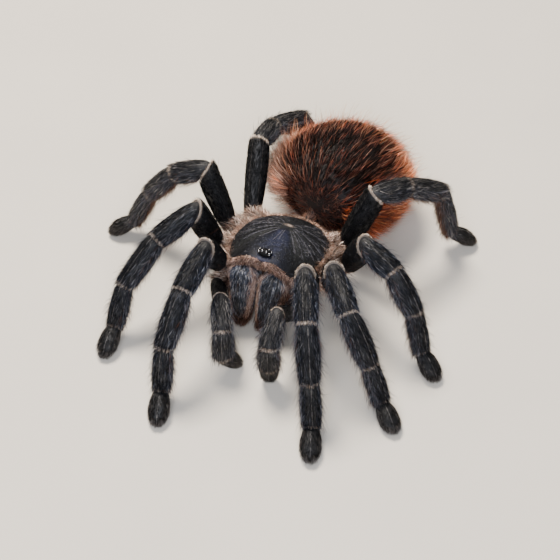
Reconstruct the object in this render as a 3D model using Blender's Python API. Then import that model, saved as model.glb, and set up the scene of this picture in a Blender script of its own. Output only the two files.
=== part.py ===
"""A grown female red rump tarantula (Tliltocatl vagans), standing still, at life size.

Sizes below are millimetres and are turned into metres as each piece is made. The floor is z = 0, the
head points along -Y and the spider's own left is +X. Every solid reaches to the tips of the coat.
A limb is a chain of lofts that meet on the bisecting plane of each joint, with a thin gap between them.
"""

import math

import bmesh
import bpy
import numpy as np

MM = 0.001
GAP = 0.3  # between two pieces that meet
SOLE = 0.35  # what hangs lower than this is flattened onto the floor
PLACE = (1.12, -1.59, 0.0)  # brings the middle of the footprint to the origin

SIDES = {"left": 1, "right": -1}
RING_POINTS = 10

# The shield over the front body: its rim plane stands at RIM_HEIGHT and is pitched, front up.
SHIELD_HALF_WIDTH = 11.2
SHIELD_HALF_LENGTH = 12.2
SHIELD_PEAK = 4.5
EDGE_THICKNESS = 0.8
FRONT_LIFT = 2.3  # how far the rim arches over the jaws
CORNER_DROP = 1.5  # how far it hangs down at the front corners
CORNER_REACH = 0.8  # how far they stand forward
RIM_HEIGHT = 14.4
PITCH = math.radians(13)

ABDOMEN_CENTRE = (3.7, 28.5, 14.6)
ABDOMEN_HALF_WIDTH = 18.5
ABDOMEN_HALF_HEIGHT = 14.0
ABDOMEN_FRONT = 15.1
ABDOMEN_REAR = 19.4
ABDOMEN_TURN = math.radians(-10)
ABDOMEN_BLUNTNESS = 0.56  # under 1, it fills out the front

# Each leg's lengths from femur to tarsus, its hip and the root of its coxa, for a left leg.
LEG_PARTS = ("femur", "patella", "tibia", "metatarsus", "tarsus")
LEG_LENGTHS = {
    1: (17.9, 11.3, 13.5, 11.8, 8.1),
    2: (16.0, 11.1, 13.3, 11.2, 7.7),
    3: (16.4, 9.0, 11.1, 11.9, 7.2),
    4: (17.9, 8.7, 12.2, 15.8, 8.0),
}
HIPS = {1: (11.8, -9.9, 13.0), 2: (15.4, -4.3, 12.2), 3: (16.2, 3.4, 12.1), 4: (12.8, 9.9, 11.5)}
COXA_ROOTS = {1: (3.8, -4.6, 11.0), 2: (4.6, -1.4, 10.4), 3: (4.6, 2.0, 10.0), 4: (3.8, 5.0, 9.6)}
TOE_HEIGHT = 1.4

PALP_PARTS = ("femur", "patella", "tibia", "tarsus")
PALP_LENGTHS = (13.2, 8.2, 7.5, 6.7)
PALP_HIP = (11.0, -13.2, 9.0)
PALP_ROOT = (4.0, -6.0, 9.2)
PALP_TOE_HEIGHT = 0.8

# Standing pose in whole degrees. A heading turns from straight out sideways (0) to straight ahead (-90)
# or straight back (90). A pitch is up (+) or down (-). The ankle height sets the last two pitches.
LEG_POSE = {
    ("right", 1): ((-101, -90, -88, -96, -110), (55, -14, -46), 4.0),
    ("right", 2): ((-63, -54, -67, -80, -95), (69, -24, -38), 4.5),
    ("right", 3): ((6, -9, -10, -15, -27), (69, -21, -50), 5.0),
    ("right", 4): ((73, 89, 108, 108, 108), (46, -10, -21), 4.0),
    ("left", 1): ((-73, -64, -59, -57, -68), (60, -16, -57), 3.0),
    ("left", 2): ((-67, -50, -22, -16, -46), (57, -9, -56), 2.5),
    ("left", 3): ((-43, -21, -17, -19, -36), (60, -11, -52), 4.5),
    ("left", 4): ((24, 49, 54, 43, 35), (69, -5, -31), 6.0),
}
PALP_POSE = {
    "right": ((-122, -121, -110, 120), (32, -17, -80)),
    "left": ((-97, -82, 110, 110), (43, -23, -85)),
}

# Half widths and half depths (start, end) of each length of limb, and how far it swells between them.
LEG_GIRTH = {
    "coxa": ((2.9, 3.0), (2.5, 2.6), 0.1),
    "femur": ((2.6, 2.8), (3.0, 3.2), 0.3),
    "patella": ((2.65, 2.8), (2.7, 2.65), 0.35),
    "tibia": ((2.65, 2.6), (2.4, 2.35), 0.4),
    "metatarsus": ((2.3, 2.25), (2.3, 2.15), 0.3),
    "tarsus": ((2.15, 1.95), (2.35, 1.5), 0.45),
}
PALP_GIRTH = {
    "coxa": ((2.4, 2.4), (2.1, 2.2), 0.1),
    "femur": ((2.0, 2.1), (2.2, 2.3), 0.05),
    "patella": ((2.4, 2.35), (2.6, 2.45), 0.25),
    "tibia": ((2.6, 2.45), (2.65, 2.4), 0.2),
    "tarsus": ((2.55, 2.35), (1.9, 1.8), 0.15),
}
STATIONS = (0.0, 0.12, 0.5, 0.88, 1.0)
TIP_STATIONS = (0.0, 0.15, 0.45, 0.7, 0.88, 1.0)
JOINT_ROUNDING = 0.6  # how much a sharply bent joint narrows
TIP_ROUNDING = 0.5  # the share of the last length that rounds off
TIP_LEFT = 0.45  # the share of the girth that is left at the very tip

CHELICERA_ROOT = (4.2, -11.0, 17.0)
CHELICERA_TIP = (2.9, -16.6, 3.0)
# Along each chelicera: place from root to tip, half width and half depth.
CHELICERA_SECTIONS = (
    (-0.13, 1.7, 1.4),
    (-0.07, 2.8, 2.4),
    (0.02, 3.7, 3.2),
    (0.16, 4.1, 3.6),
    (0.38, 3.7, 3.5),
    (0.62, 3.1, 3.1),
    (0.82, 2.5, 2.5),
    (0.94, 1.9, 1.9),
    (1.0, 1.2, 1.2),
)

EYE_MOUND = (0.0, -10.35, 4.3)  # on the shield, in its own pitched frame
EYE_MOUND_HALF = (1.75, 1.25, 1.0)
# Front row then back row: sideways place, place along the body, height on the mound and radius.
EYES = (
    (0.48, -0.62, 0.72, 0.36),
    (1.32, -0.72, 0.3, 0.36),
    (0.72, 0.42, 0.72, 0.24),
    (1.42, 0.28, 0.36, 0.3),
)

COAT_BLACK = (0.012, 0.013, 0.017)
COAT_GREY = (0.03, 0.033, 0.042)
SHIELD_BLUE_BLACK = (0.01, 0.013, 0.024)
RUMP_RED = (0.25, 0.05, 0.02)
EYE_BLACK = (0.002, 0.002, 0.002)


def start_collections():
    """Removes what the scene holds and makes the collections for the parts and for the cutters."""
    for obj in list(bpy.data.objects):
        bpy.data.objects.remove(obj)
    parts = bpy.data.collections.new("tarantula")
    cutters = bpy.data.collections.new("cutters")
    for collection in (parts, cutters):
        bpy.context.scene.collection.children.link(collection)
    cutters.hide_render = True
    return parts, cutters


def plain_material(name, colour, roughness):
    material = bpy.data.materials.new(name)
    material.use_nodes = True
    shader = material.node_tree.nodes["Principled BSDF"]
    shader.inputs["Base Color"].default_value = (*colour, 1.0)
    shader.inputs["Roughness"].default_value = roughness
    shader.inputs["Metallic"].default_value = 0.0
    return material


def add_piece(name, points, faces, colour=COAT_BLACK, roughness=0.6):
    """One closed smooth-shaded object from points in millimetres, under the body's empty."""
    mesh = bpy.data.meshes.new(name)
    mesh.from_pydata((np.asarray(points, float) * MM).tolist(), [], faces)
    work = bmesh.new()
    work.from_mesh(mesh)
    bmesh.ops.recalc_face_normals(work, faces=work.faces)
    work.to_mesh(mesh)
    work.free()
    mesh.shade_smooth()
    mesh.set_sharp_from_angle(angle=math.radians(45))
    mesh.materials.append(plain_material(name, colour, roughness))
    obj = bpy.data.objects.new(name, mesh)
    parts.objects.link(obj)
    obj.parent = body
    return obj


def as_cutter(obj):
    """Hides an object from the render and from the parts, so that it only shapes others."""
    parts.objects.unlink(obj)
    cutters.objects.link(obj)
    obj.hide_render = True
    obj.display_type = "WIRE"
    return obj


def combine(obj, others, operation):
    """Joins or cuts an object with each of the others, all of which become cutters."""
    for other in others:
        boolean = obj.modifiers.new(operation.lower() + " " + other.name, "BOOLEAN")
        boolean.operation = operation
        boolean.solver = "EXACT"
        boolean.object = other if other.name in cutters.objects else as_cutter(other)


def loft(name, rings, colour=COAT_BLACK, roughness=0.6):
    """A closed skin over rings of equally many points, with a flat face over each end."""
    count = len(rings[0])
    faces = [tuple(range(count)), tuple(range((len(rings) - 1) * count, len(rings) * count))]
    for row in range(len(rings) - 1):
        for i in range(count):
            j = (i + 1) % count
            faces.append(tuple(row * count + k for k in (i, j, j + count, i + count)))
    return add_piece(name, np.concatenate(rings), faces, colour, roughness)


def unit(vector):
    return vector / np.linalg.norm(vector)


def direction(side, heading, pitch):
    """A unit step for a heading and a pitch in degrees, mirrored on the right side."""
    turn, rise = math.radians(heading), math.radians(pitch)
    level = math.cos(rise)
    return np.array([SIDES[side] * math.cos(turn) * level, math.sin(turn) * level, math.sin(rise)])


def limb_path(side, start, lengths, headings, pitches, heights):
    """Joint positions from the hip on: the first lengths by pitch, the last ones by the height they reach."""
    path = [np.array(start, float) * (SIDES[side], 1, 1)]
    for i, (length, heading) in enumerate(zip(lengths, headings)):
        if i < len(pitches):
            pitch = pitches[i]
        else:
            pitch = math.degrees(math.asin((heights[i - len(pitches)] - path[-1][2]) / length))
        path.append(path[-1] + length * direction(side, heading, pitch))
    return path


def section_axes(along):
    """Sideways and dorsal unit vectors of a limb that runs along the given direction."""
    across = unit(np.cross(along, (0, 0, 1)))
    return across, np.cross(across, along)


def limb_rings(path, index, girth, last):
    """Rings along one length of limb. They tilt from the first joint's plane to the next one's.

    A ring's centre lies at start + t * (end - start) and its points at
    centre + half_width * cos(a) * across + half_depth * sin(a) * dorsal, each slid along the limb so that
    the end rings fall in the planes that halve the joints' bends.
    """
    (start_size, end_size, swell) = girth
    start, end = path[index], path[index + 1]
    along = unit(end - start)
    across, dorsal = section_axes(along)
    before = unit(unit(start - path[index - 1]) + along) if index else along
    after = along if last else unit(along + unit(path[index + 2] - end))
    angles = np.arange(RING_POINTS) * 2 * math.pi / RING_POINTS
    rings = []
    for t in TIP_STATIONS if last else STATIONS:
        size = np.array(start_size) * (1 - t) + np.array(end_size) * t + swell * math.sin(math.pi * t)
        if t == 0:
            size = size * (along @ before) ** JOINT_ROUNDING
        if t == 1:
            size = size * (along @ after) ** JOINT_ROUNDING
        if last:
            rounding = max(0.0, (t - 1 + TIP_ROUNDING) / TIP_ROUNDING)
            size = size * (1 - (1 - TIP_LEFT) * rounding**2.5)
        out = np.outer(np.cos(angles) * size[0], across) + np.outer(np.sin(angles) * size[1], dorsal)
        slide = -(out @ before) / (along @ before) * (1 - t) ** 2 - (out @ after) / (along @ after) * t**2
        points = start + t * (end - start) + out + np.outer(slide, along)
        if t == 0 and index:
            points = points + along * GAP / 2 / (along @ before)
        if t == 1 and not last:
            points = points - along * GAP / 2 / (along @ after)
        points[points[:, 2] < SOLE, 2] = 0.0
        rings.append(points)
    return rings


def on_shield(x, y, z):
    """A point of the shield's pitched frame, whose origin is the middle of the rim plane."""
    ahead = y * math.cos(PITCH) + z * math.sin(PITCH)
    up = z * math.cos(PITCH) - y * math.sin(PITCH)
    return np.array([x, ahead, RIM_HEIGHT + up])


def shield_outline(angle, grow):
    """The rim at an angle from straight ahead: a superellipse, squarer in front, with its corners forward."""
    power = 2.35 + (0.75 if math.cos(angle) > 0 else 0.25) * math.cos(angle)
    side, ahead = abs(math.sin(angle)), abs(math.cos(angle))
    reach = ((side / SHIELD_HALF_WIDTH) ** power + (ahead / SHIELD_HALF_LENGTH) ** power) ** (-1 / power)
    reach += grow
    corner = CORNER_REACH * math.exp(-(((off_front(angle) - 42) / 14) ** 2))
    return reach * math.sin(angle), -reach * math.cos(angle) - corner


def off_front(angle):
    """Degrees from straight ahead, on either side."""
    return math.degrees(abs((angle + math.pi) % (2 * math.pi) - math.pi))


def shield_rim(angle):
    """How far the rim's underside stands above the rim plane: it arches over the jaws between low corners."""
    off = off_front(angle)
    return FRONT_LIFT * math.exp(-((off / 26) ** 4)) - CORNER_DROP * math.exp(-(((off - 46) / 14) ** 2))


def make_shield(grow=0.0, name="carapace"):
    """The carapace: a low dome that stays high to the front, where its edge arches over the jaws."""
    columns, shares = 32, (0.2, 0.42, 0.62, 0.8, 0.92, 1.0)
    rings = []
    for share in shares:
        ring = []
        for i in range(columns):
            angle = 2 * math.pi * i / columns
            front = max(0.0, math.cos(angle))
            x, y = shield_outline(angle, grow)
            edge = shield_rim(angle) + EDGE_THICKNESS
            drop = share ** (2.3 + 4.0 * front**4)
            ring.append(on_shield(x * share, y * share, grow + edge + (SHIELD_PEAK - edge) * (1 - drop)))
        rings.append(np.array(ring))
    angles = [2 * math.pi * i / columns for i in range(columns)]
    rings.append(np.array([on_shield(*shield_outline(a, grow), shield_rim(a) - grow) for a in angles]))
    return loft(name, rings, SHIELD_BLUE_BLACK, 0.35)


def make_chelicera(side, grow=0.0):
    """One jaw: an oval column that hangs from under the shield's edge and narrows to its tip."""
    mirror = (SIDES[side], 1, 1)
    root, tip = np.array(CHELICERA_ROOT) * mirror, np.array(CHELICERA_TIP) * mirror
    along = unit(tip - root)
    across = unit(np.cross(along, (0, 1, 0)))
    ahead = np.cross(across, along)
    angles = np.arange(RING_POINTS + 2) * 2 * math.pi / (RING_POINTS + 2)
    rings = []
    for t, half_width, half_depth in CHELICERA_SECTIONS:
        out = np.outer(np.cos(angles) * (half_width + grow), across)
        out = out + np.outer(np.sin(angles) * (half_depth + grow), ahead)
        points = root + t * (tip - root) + out
        inner = points[:, 0] * SIDES[side] < GAP / 2 - grow
        points[inner, 0] = SIDES[side] * (GAP / 2 - grow)
        rings.append(points)
    return loft("chelicera_" + side, rings, COAT_GREY, 0.55)


def make_fang(side):
    """A black curved claw, folded back under its jaw: a cone swept along a quadratic curve."""
    mirror = (SIDES[side], 1, 1)
    bend = [np.array(p) * mirror for p in ((2.8, -16.0, 1.7), (2.8, -13.4, 0.2), (2.2, -10.6, 3.8))]
    rings = []
    for t in np.linspace(0, 1, 8):
        centre = bend[0] * (1 - t) ** 2 + bend[1] * 2 * t * (1 - t) + bend[2] * t * t
        along = unit((bend[1] - bend[0]) * (1 - t) + (bend[2] - bend[1]) * t)
        across, dorsal = section_axes(along)
        angles = np.arange(8) * math.pi / 4
        radius = 0.95 * (1 - t) ** 0.7 + 0.25 * t
        rings.append(centre + radius * (np.outer(np.cos(angles), across) + np.outer(np.sin(angles), dorsal)))
    return loft("fang_" + side, rings, EYE_BLACK, 0.2)


def ellipsoid(name, centre, halves, rows, columns, colour=COAT_BLACK, roughness=0.6):
    """A round-ended solid: rings about the long axis, with a small flat at each pole."""
    angles = np.arange(columns) * 2 * math.pi / columns
    rings = []
    for polar in np.linspace(0.12, math.pi - 0.12, rows):
        out = np.stack([np.cos(angles) * math.sin(polar), np.full(columns, -math.cos(polar))], axis=1)
        unit_ring = np.column_stack([out, np.sin(angles) * math.sin(polar)])
        rings.append(unit_ring * halves + centre)
    return loft(name, rings, colour, roughness)


def make_eye_mound(grow=0.0):
    """The low mound near the shield's front edge with its eight lenses, two rows of four."""
    halves = np.array(EYE_MOUND_HALF) + grow
    mound = ellipsoid("eye_mound", (0, 0, 0), halves, 9, 14, EYE_BLACK, 0.15)
    lenses = []
    for i, (x, y, z, radius) in enumerate(EYES):
        for side, sign in SIDES.items():
            centre = (sign * x, y, z)
            lenses.append(ellipsoid(f"lens_{side}_{i + 1}", centre, (radius + grow,) * 3, 6, 8, EYE_BLACK, 0.05))
    for obj in [mound, *lenses]:
        obj.location = on_shield(*EYE_MOUND) * MM
        obj.rotation_euler.x = -PITCH
    combine(mound, lenses, "UNION")
    return mound


def make_base(coxae, rooms):
    """The underside of the front body: sternum and flanks with all ten coxae and trochanters joined on."""
    levels = ((-0.3, 9.2, 10.6), (-2.6, 9.0, 10.4), (-5.4, 7.4, 8.8), (-7.4, 4.8, 6.4))
    angles = np.arange(24) * math.pi / 12
    rings = []
    for z, half_width, half_length in levels:
        rings.append(np.array([on_shield(half_width * math.sin(a), -half_length * math.cos(a), z) for a in angles]))
    base = loft("sternum_and_coxae", rings)
    combine(base, coxae, "UNION")
    combine(base, rooms, "DIFFERENCE")
    return base


def make_abdomen(grow=0.0, name="abdomen"):
    """The abdomen: a blunt egg, longer behind its widest place than in front, turned a little aside."""
    columns, rows = 24, 15
    angles = np.arange(columns) * 2 * math.pi / columns
    cos_turn, sin_turn = math.cos(ABDOMEN_TURN), math.sin(ABDOMEN_TURN)
    rings = []
    for polar in np.linspace(0.1, math.pi - 0.1, rows):
        in_front = polar < math.pi / 2
        reach = ABDOMEN_FRONT if in_front else ABDOMEN_REAR
        share = math.sin(polar) ** (ABDOMEN_BLUNTNESS if in_front else 1.0)
        x = (ABDOMEN_HALF_WIDTH + grow) * share * np.cos(angles)
        y = np.full(columns, -(reach + grow) * math.cos(polar))
        z = (ABDOMEN_HALF_HEIGHT + grow) * share * np.sin(angles)
        turned = np.column_stack([x * cos_turn - y * sin_turn, x * sin_turn + y * cos_turn, z])
        rings.append(turned + ABDOMEN_CENTRE)
    return loft(name, rings, RUMP_RED, 0.7)


def make_pedicel():
    """The short waist, which belongs to the abdomen and stops just behind the base."""
    front, back = np.array([0.0, 11.0, 8.9]), np.array([1.2, 17.0, 12.0])
    across, dorsal = section_axes(unit(back - front))
    angles = np.arange(RING_POINTS) * 2 * math.pi / RING_POINTS
    ring = 1.5 * (np.outer(np.cos(angles), across) + np.outer(np.sin(angles), dorsal))
    return loft("pedicel", [front + ring, back + ring])


def make_spinneret(side, room):
    """A jointed finger below the rear end, cut to the abdomen's surface."""
    start = np.array([5.6 + 1.2 * SIDES[side], 43.0, 7.4])
    tip = start + np.array([0.7 * SIDES[side], 6.4, 0.5])
    across, dorsal = section_axes(unit(tip - start))
    angles = np.arange(8) * math.pi / 4
    rings = []
    for t, radius in ((0, 1.1), (0.45, 1.05), (0.7, 0.95), (0.9, 0.7), (1, 0.35)):
        out = radius * (np.outer(np.cos(angles), across) + np.outer(np.sin(angles), dorsal))
        rings.append(start + t * (tip - start) + out)
    spinneret = loft("spinneret_" + side, rings)
    combine(spinneret, [room], "DIFFERENCE")
    return spinneret


def make_limb(name, names, path, girths):
    """The pieces of one limb, and the coxa that joins the base. The path begins at the coxa's root."""
    for index, part in enumerate(names):
        last = index == len(names) - 1
        colour = COAT_BLACK if part == "femur" else COAT_GREY
        loft(f"{name}_{part}", limb_rings(path, index + 1, girths[part], last), colour, 0.6)
    return loft(f"{name}_coxa", limb_rings(path, 0, girths["coxa"], False))


parts, cutters = start_collections()
body = bpy.data.objects.new("body", None)
body.location = [value * MM for value in PLACE]
parts.objects.link(body)

coxae = []
for (side, number), (headings, pitches, ankle) in LEG_POSE.items():
    path = limb_path(side, HIPS[number], LEG_LENGTHS[number], headings, pitches, (ankle, TOE_HEIGHT))
    path.insert(0, np.array(COXA_ROOTS[number]) * (SIDES[side], 1, 1))
    coxae.append(make_limb(f"leg_{side}_{number}", LEG_PARTS, path, LEG_GIRTH))
for side, (headings, pitches) in PALP_POSE.items():
    path = limb_path(side, PALP_HIP, PALP_LENGTHS, headings, pitches, (PALP_TOE_HEIGHT,))
    path.insert(0, np.array(PALP_ROOT) * (SIDES[side], 1, 1))
    coxae.append(make_limb(f"palp_{side}", PALP_PARTS, path, PALP_GIRTH))

for side in SIDES:
    make_chelicera(side)
    make_fang(side)
jaw_rooms = [as_cutter(make_chelicera(side, GAP)) for side in SIDES]
make_base(coxae, [*jaw_rooms, as_cutter(make_shield(GAP, "shield_room"))])
shield = make_shield()
make_eye_mound()
combine(shield, [*jaw_rooms, make_eye_mound(GAP)], "DIFFERENCE")
abdomen = make_abdomen()
combine(abdomen, [make_pedicel()], "UNION")
rear_room = as_cutter(make_abdomen(GAP, "abdomen_room"))
for side in SIDES:
    make_spinneret(side, rear_room)
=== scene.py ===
"""A grown female red rump tarantula (Tliltocatl vagans) standing still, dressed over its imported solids.

Sizes are millimetres in the spider's own frame, with the head along -Y and its left at +X, and become
metres in the row's frame as each mesh is made. The dark skin lies inside the solids by the coat's depth,
and the coat is many thousand hairs, each a thin closed spike with its root on that skin.
"""

import math

import bmesh
import bpy
import numpy as np
from mathutils import Matrix, Vector


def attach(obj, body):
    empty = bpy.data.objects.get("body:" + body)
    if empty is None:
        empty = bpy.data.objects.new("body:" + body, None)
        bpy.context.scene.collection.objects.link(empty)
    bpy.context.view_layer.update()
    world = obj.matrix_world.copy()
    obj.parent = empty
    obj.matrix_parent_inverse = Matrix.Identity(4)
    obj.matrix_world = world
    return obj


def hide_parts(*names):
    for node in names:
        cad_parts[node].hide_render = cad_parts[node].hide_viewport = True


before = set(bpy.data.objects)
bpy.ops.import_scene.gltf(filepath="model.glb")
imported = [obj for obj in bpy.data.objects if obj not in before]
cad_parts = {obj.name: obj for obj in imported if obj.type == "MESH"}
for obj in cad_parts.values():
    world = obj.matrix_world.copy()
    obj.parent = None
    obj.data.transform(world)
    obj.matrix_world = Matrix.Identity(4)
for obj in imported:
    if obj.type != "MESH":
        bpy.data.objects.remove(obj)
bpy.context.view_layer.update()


# ---------- the floor, the light and the camera
# A matt pale floor of painted board. A soft lamp stands high behind the spider's right and a larger,
# weaker one in front, and the camera looks down at the head from its left.

MM = 0.001
FLOOR_COLOUR, FLOOR_HALF = "#d9d1c4", 2.0
FLOOR_SHADE = 0.9  # how dark the board's darkest patches are
ROOM_COLOUR, ROOM_STRENGTH = "#e8ecf2", 0.3
CAMERA_AZIMUTH = math.radians(25.2)
CAMERA_ELEVATION = math.radians(48.1)
CAMERA_DISTANCE = 0.278
CAMERA_AIM = Vector((2.04, -4.47, 5.31)) * MM
CAMERA_ANGLE = math.radians(28)


def linear(hex_colour):
    """An sRGB hex value as linear red, green and blue: ((c + 0.055) / 1.055) ** 2.4 above the toe."""
    channels = [int(hex_colour[i : i + 2], 16) / 255 for i in (1, 3, 5)]
    return [c / 12.92 if c <= 0.04045 else ((c + 0.055) / 1.055) ** 2.4 for c in channels]


def add_node(tree, kind, settings=None, values=None, links=None, feeds=None):
    """Adds a shader node with its own settings and its inputs' values.

    Its links are given as input: (node, output), and what it feeds as output: (node, input).
    """
    made = tree.nodes.new(kind)
    for name, value in (settings or {}).items():
        setattr(made, name, value)
    for name, value in (values or {}).items():
        made.inputs[name].default_value = value
    for name, (source, output) in (links or {}).items():
        tree.links.new(source.outputs[output], made.inputs[name])
    for name, (fed, socket) in (feeds or {}).items():
        tree.links.new(made.outputs[name], fed.inputs[socket])
    return made


def start_material(name, **values):
    """A material with one Principled shader, whose fixed inputs are set by name, with _ for a space."""
    material = bpy.data.materials.new(name)
    material.use_nodes = True
    tree = material.node_tree
    shader = tree.nodes["Principled BSDF"]
    for key, value in values.items():
        shader.inputs[key.replace("_", " ")].default_value = value
    return material, tree, shader


def pattern(tree, kind, **values):
    """A texture on the object's own coordinates in metres, so its Scale counts cells to a metre."""
    place = add_node(tree, "ShaderNodeTexCoord")
    return add_node(tree, kind, None, values, {"Vector": (place, "Object")})


# Painted board: matt, with a very faint unevenness a few centimetres across.
board, tree, shader = start_material("painted_board", Roughness=0.9)
mottle = pattern(tree, "ShaderNodeTexNoise", Scale=25.0, Detail=4.0)
pale = linear(FLOOR_COLOUR)
add_node(
    tree,
    "ShaderNodeMix",
    {"data_type": "RGBA"},
    {6: (*pale, 1.0), 7: (*[c * FLOOR_SHADE for c in pale], 1.0)},
    {"Factor": (mottle, "Fac")},
    {2: (shader, "Base Color")},
)

floor_mesh = bpy.data.meshes.new("floor")
corners = [(x * FLOOR_HALF, y * FLOOR_HALF, 0) for x, y in ((-1, -1), (1, -1), (1, 1), (-1, 1))]
floor_mesh.from_pydata(corners, [], [(0, 1, 2, 3)])
floor_mesh.materials.append(board)
floor = bpy.data.objects.new("floor", floor_mesh)
bpy.context.scene.collection.objects.link(floor)


def add_lamp(name, size, power, colour, position, target=(0.0, 0.0, 0.01)):
    """A square soft lamp, size metres across, turned to face its target."""
    data = bpy.data.lights.new(name, "AREA")
    data.size = size
    data.energy = power
    data.color = linear(colour)
    lamp = bpy.data.objects.new(name, data)
    lamp.location = position
    lamp.rotation_euler = (Vector(target) - Vector(position)).to_track_quat("-Z", "Y").to_euler()
    bpy.context.scene.collection.objects.link(lamp)


add_lamp("key_lamp", 0.2, 9.0, "#fff6ea", (-0.20, 0.14, 0.58))
add_lamp("front_lamp", 0.4, 6.0, "#eef3ff", (0.22, -0.5, 0.42))

world = bpy.data.worlds.new("studio")
bpy.context.scene.world = world
world.use_nodes = True
room = world.node_tree.nodes["Background"]
room.inputs["Color"].default_value = (*linear(ROOM_COLOUR), 1.0)
room.inputs["Strength"].default_value = ROOM_STRENGTH

camera_data = bpy.data.cameras.new("camera")
camera_data.sensor_fit = "HORIZONTAL"
camera_data.angle = CAMERA_ANGLE
camera_data.clip_start = 0.01
camera = bpy.data.objects.new("camera", camera_data)
bpy.context.scene.collection.objects.link(camera)
right = Vector((math.cos(CAMERA_AZIMUTH), math.sin(CAMERA_AZIMUTH), 0.0))
level = math.cos(CAMERA_ELEVATION)
ahead = Vector((-right.y * level, right.x * level, -math.sin(CAMERA_ELEVATION)))
turn = Matrix((right, right.cross(ahead), -ahead)).transposed().to_4x4()
turn.translation = CAMERA_AIM - ahead * CAMERA_DISTANCE
camera.matrix_world = turn
bpy.context.scene.camera = camera


# ---------- the limbs' shape
# Eight legs and two palps, each a chain of stiff tubes of cuticle from the coxa to the tip. Every tube
# swells a little, pinches in at its joints, and meets the next on the plane that halves their bend.

PLACE = np.array([1.12, -1.59, 0.0])  # the spider's origin in the row's frame
SIDES = {"left": 1, "right": -1}
LEG_PARTS = ("coxa", "femur", "patella", "tibia", "metatarsus", "tarsus")
LEG_LENGTHS = {
    1: (17.9, 11.3, 13.5, 11.8, 8.1),
    2: (16.0, 11.1, 13.3, 11.2, 7.7),
    3: (16.4, 9.0, 11.1, 11.9, 7.2),
    4: (17.9, 8.7, 12.2, 15.8, 8.0),
}
HIPS = {1: (11.8, -9.9, 13.0), 2: (15.4, -4.3, 12.2), 3: (16.2, 3.4, 12.1), 4: (12.8, 9.9, 11.5)}
COXA_ROOTS = {1: (3.8, -4.6, 11.0), 2: (4.6, -1.4, 10.4), 3: (4.6, 2.0, 10.0), 4: (3.8, 5.0, 9.6)}
TOE_HEIGHT = 1.4
PALP_PARTS = ("coxa", "femur", "patella", "tibia", "tarsus")
PALP_LENGTHS = (13.2, 8.2, 7.5, 6.7)
PALP_HIP = (11.0, -13.2, 9.0)
PALP_ROOT = (4.0, -6.0, 9.2)
PALP_TOE_HEIGHT = 0.8
# Headings turn from straight out (0) to ahead (-90) or back (90), pitches are up (+) or down (-). A leg's
# last value is its ankle's height.
LEG_POSE = {
    ("right", 1): ((-101, -90, -88, -96, -110), (55, -14, -46), 4.0),
    ("right", 2): ((-63, -54, -67, -80, -95), (69, -24, -38), 4.5),
    ("right", 3): ((6, -9, -10, -15, -27), (69, -21, -50), 5.0),
    ("right", 4): ((73, 89, 108, 108, 108), (46, -10, -21), 4.0),
    ("left", 1): ((-73, -64, -59, -57, -68), (60, -16, -57), 3.0),
    ("left", 2): ((-67, -50, -22, -16, -46), (57, -9, -56), 2.5),
    ("left", 3): ((-43, -21, -17, -19, -36), (60, -11, -52), 4.5),
    ("left", 4): ((24, 49, 54, 43, 35), (69, -5, -31), 6.0),
}
PALP_POSE = {
    "right": ((-122, -121, -110, 120), (32, -17, -80)),
    "left": ((-97, -82, 110, 110), (43, -23, -85)),
}
# Half widths and half depths at the start and the end of each tube, coat and all, and its swell.
LEG_GIRTH = {
    "coxa": ((2.9, 3.0), (2.5, 2.6), 0.1),
    "femur": ((2.6, 2.8), (3.0, 3.2), 0.3),
    "patella": ((2.65, 2.8), (2.7, 2.65), 0.35),
    "tibia": ((2.65, 2.6), (2.4, 2.35), 0.4),
    "metatarsus": ((2.3, 2.25), (2.3, 2.15), 0.3),
    "tarsus": ((2.15, 1.95), (2.35, 1.5), 0.45),
}
PALP_GIRTH = {
    "coxa": ((2.4, 2.4), (2.1, 2.2), 0.1),
    "femur": ((2.0, 2.1), (2.2, 2.3), 0.05),
    "patella": ((2.4, 2.35), (2.6, 2.45), 0.25),
    "tibia": ((2.6, 2.45), (2.65, 2.4), 0.2),
    "tarsus": ((2.55, 2.35), (1.9, 1.8), 0.15),
}
LIMB_COAT = 0.45  # the depth of the coat on a limb
PINCH, PINCH_REACH = 0.1, 0.8  # how much a tube narrows at a joint, and over what length
JOINT_ROUNDING = 0.6
TIP_START, TIP_POWER = 0.5, 2.4  # the share of the last tube where its tip starts to round off
SKIN_CLEARANCE = 0.12  # how far the skin stays above the floor


def unit(vectors):
    """The vectors at length 1."""
    return vectors / np.linalg.norm(vectors, axis=-1, keepdims=True)


def grids(*values):
    """The values as arrays of one common shape."""
    return np.broadcast_arrays(*(np.asarray(value, float) for value in values))


def bell(value, middle=0.0, spread=1.0):
    """1 at the middle, falling on both sides: e ** -((value - middle) / spread) ** 2."""
    return np.exp(-(((value - middle) / spread) ** 2))


def limb_path(side, root, start, lengths, headings, pitches, heights):
    """Joint positions: the root, the hip, then each length by its pitch or by the height it ends at."""
    mirror = np.array((SIDES[side], 1, 1))
    path = [np.array(root) * mirror, np.array(start) * mirror]
    for i, (length, heading) in enumerate(zip(lengths, headings)):
        if i < len(pitches):
            rise = math.radians(pitches[i])
        else:
            rise = math.asin((heights[i - len(pitches)] - path[-1][2]) / length)
        way, level = math.radians(heading), math.cos(rise)
        step = (SIDES[side] * math.cos(way) * level, math.sin(way) * level, math.sin(rise))
        path.append(path[-1] + length * np.array(step))
    return path


def limb_frames(path):
    """For each tube its unit vectors along, across and dorsal, with no half turn from one to the next."""
    frames = []
    for start, end in zip(path, path[1:]):
        along = unit(end - start)
        across = unit(np.cross(along, (0, 0, 1)))
        if frames and across @ frames[-1][1] < 0:
            across = -across
        frames.append((along, across, np.cross(across, along)))
    return frames


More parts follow.
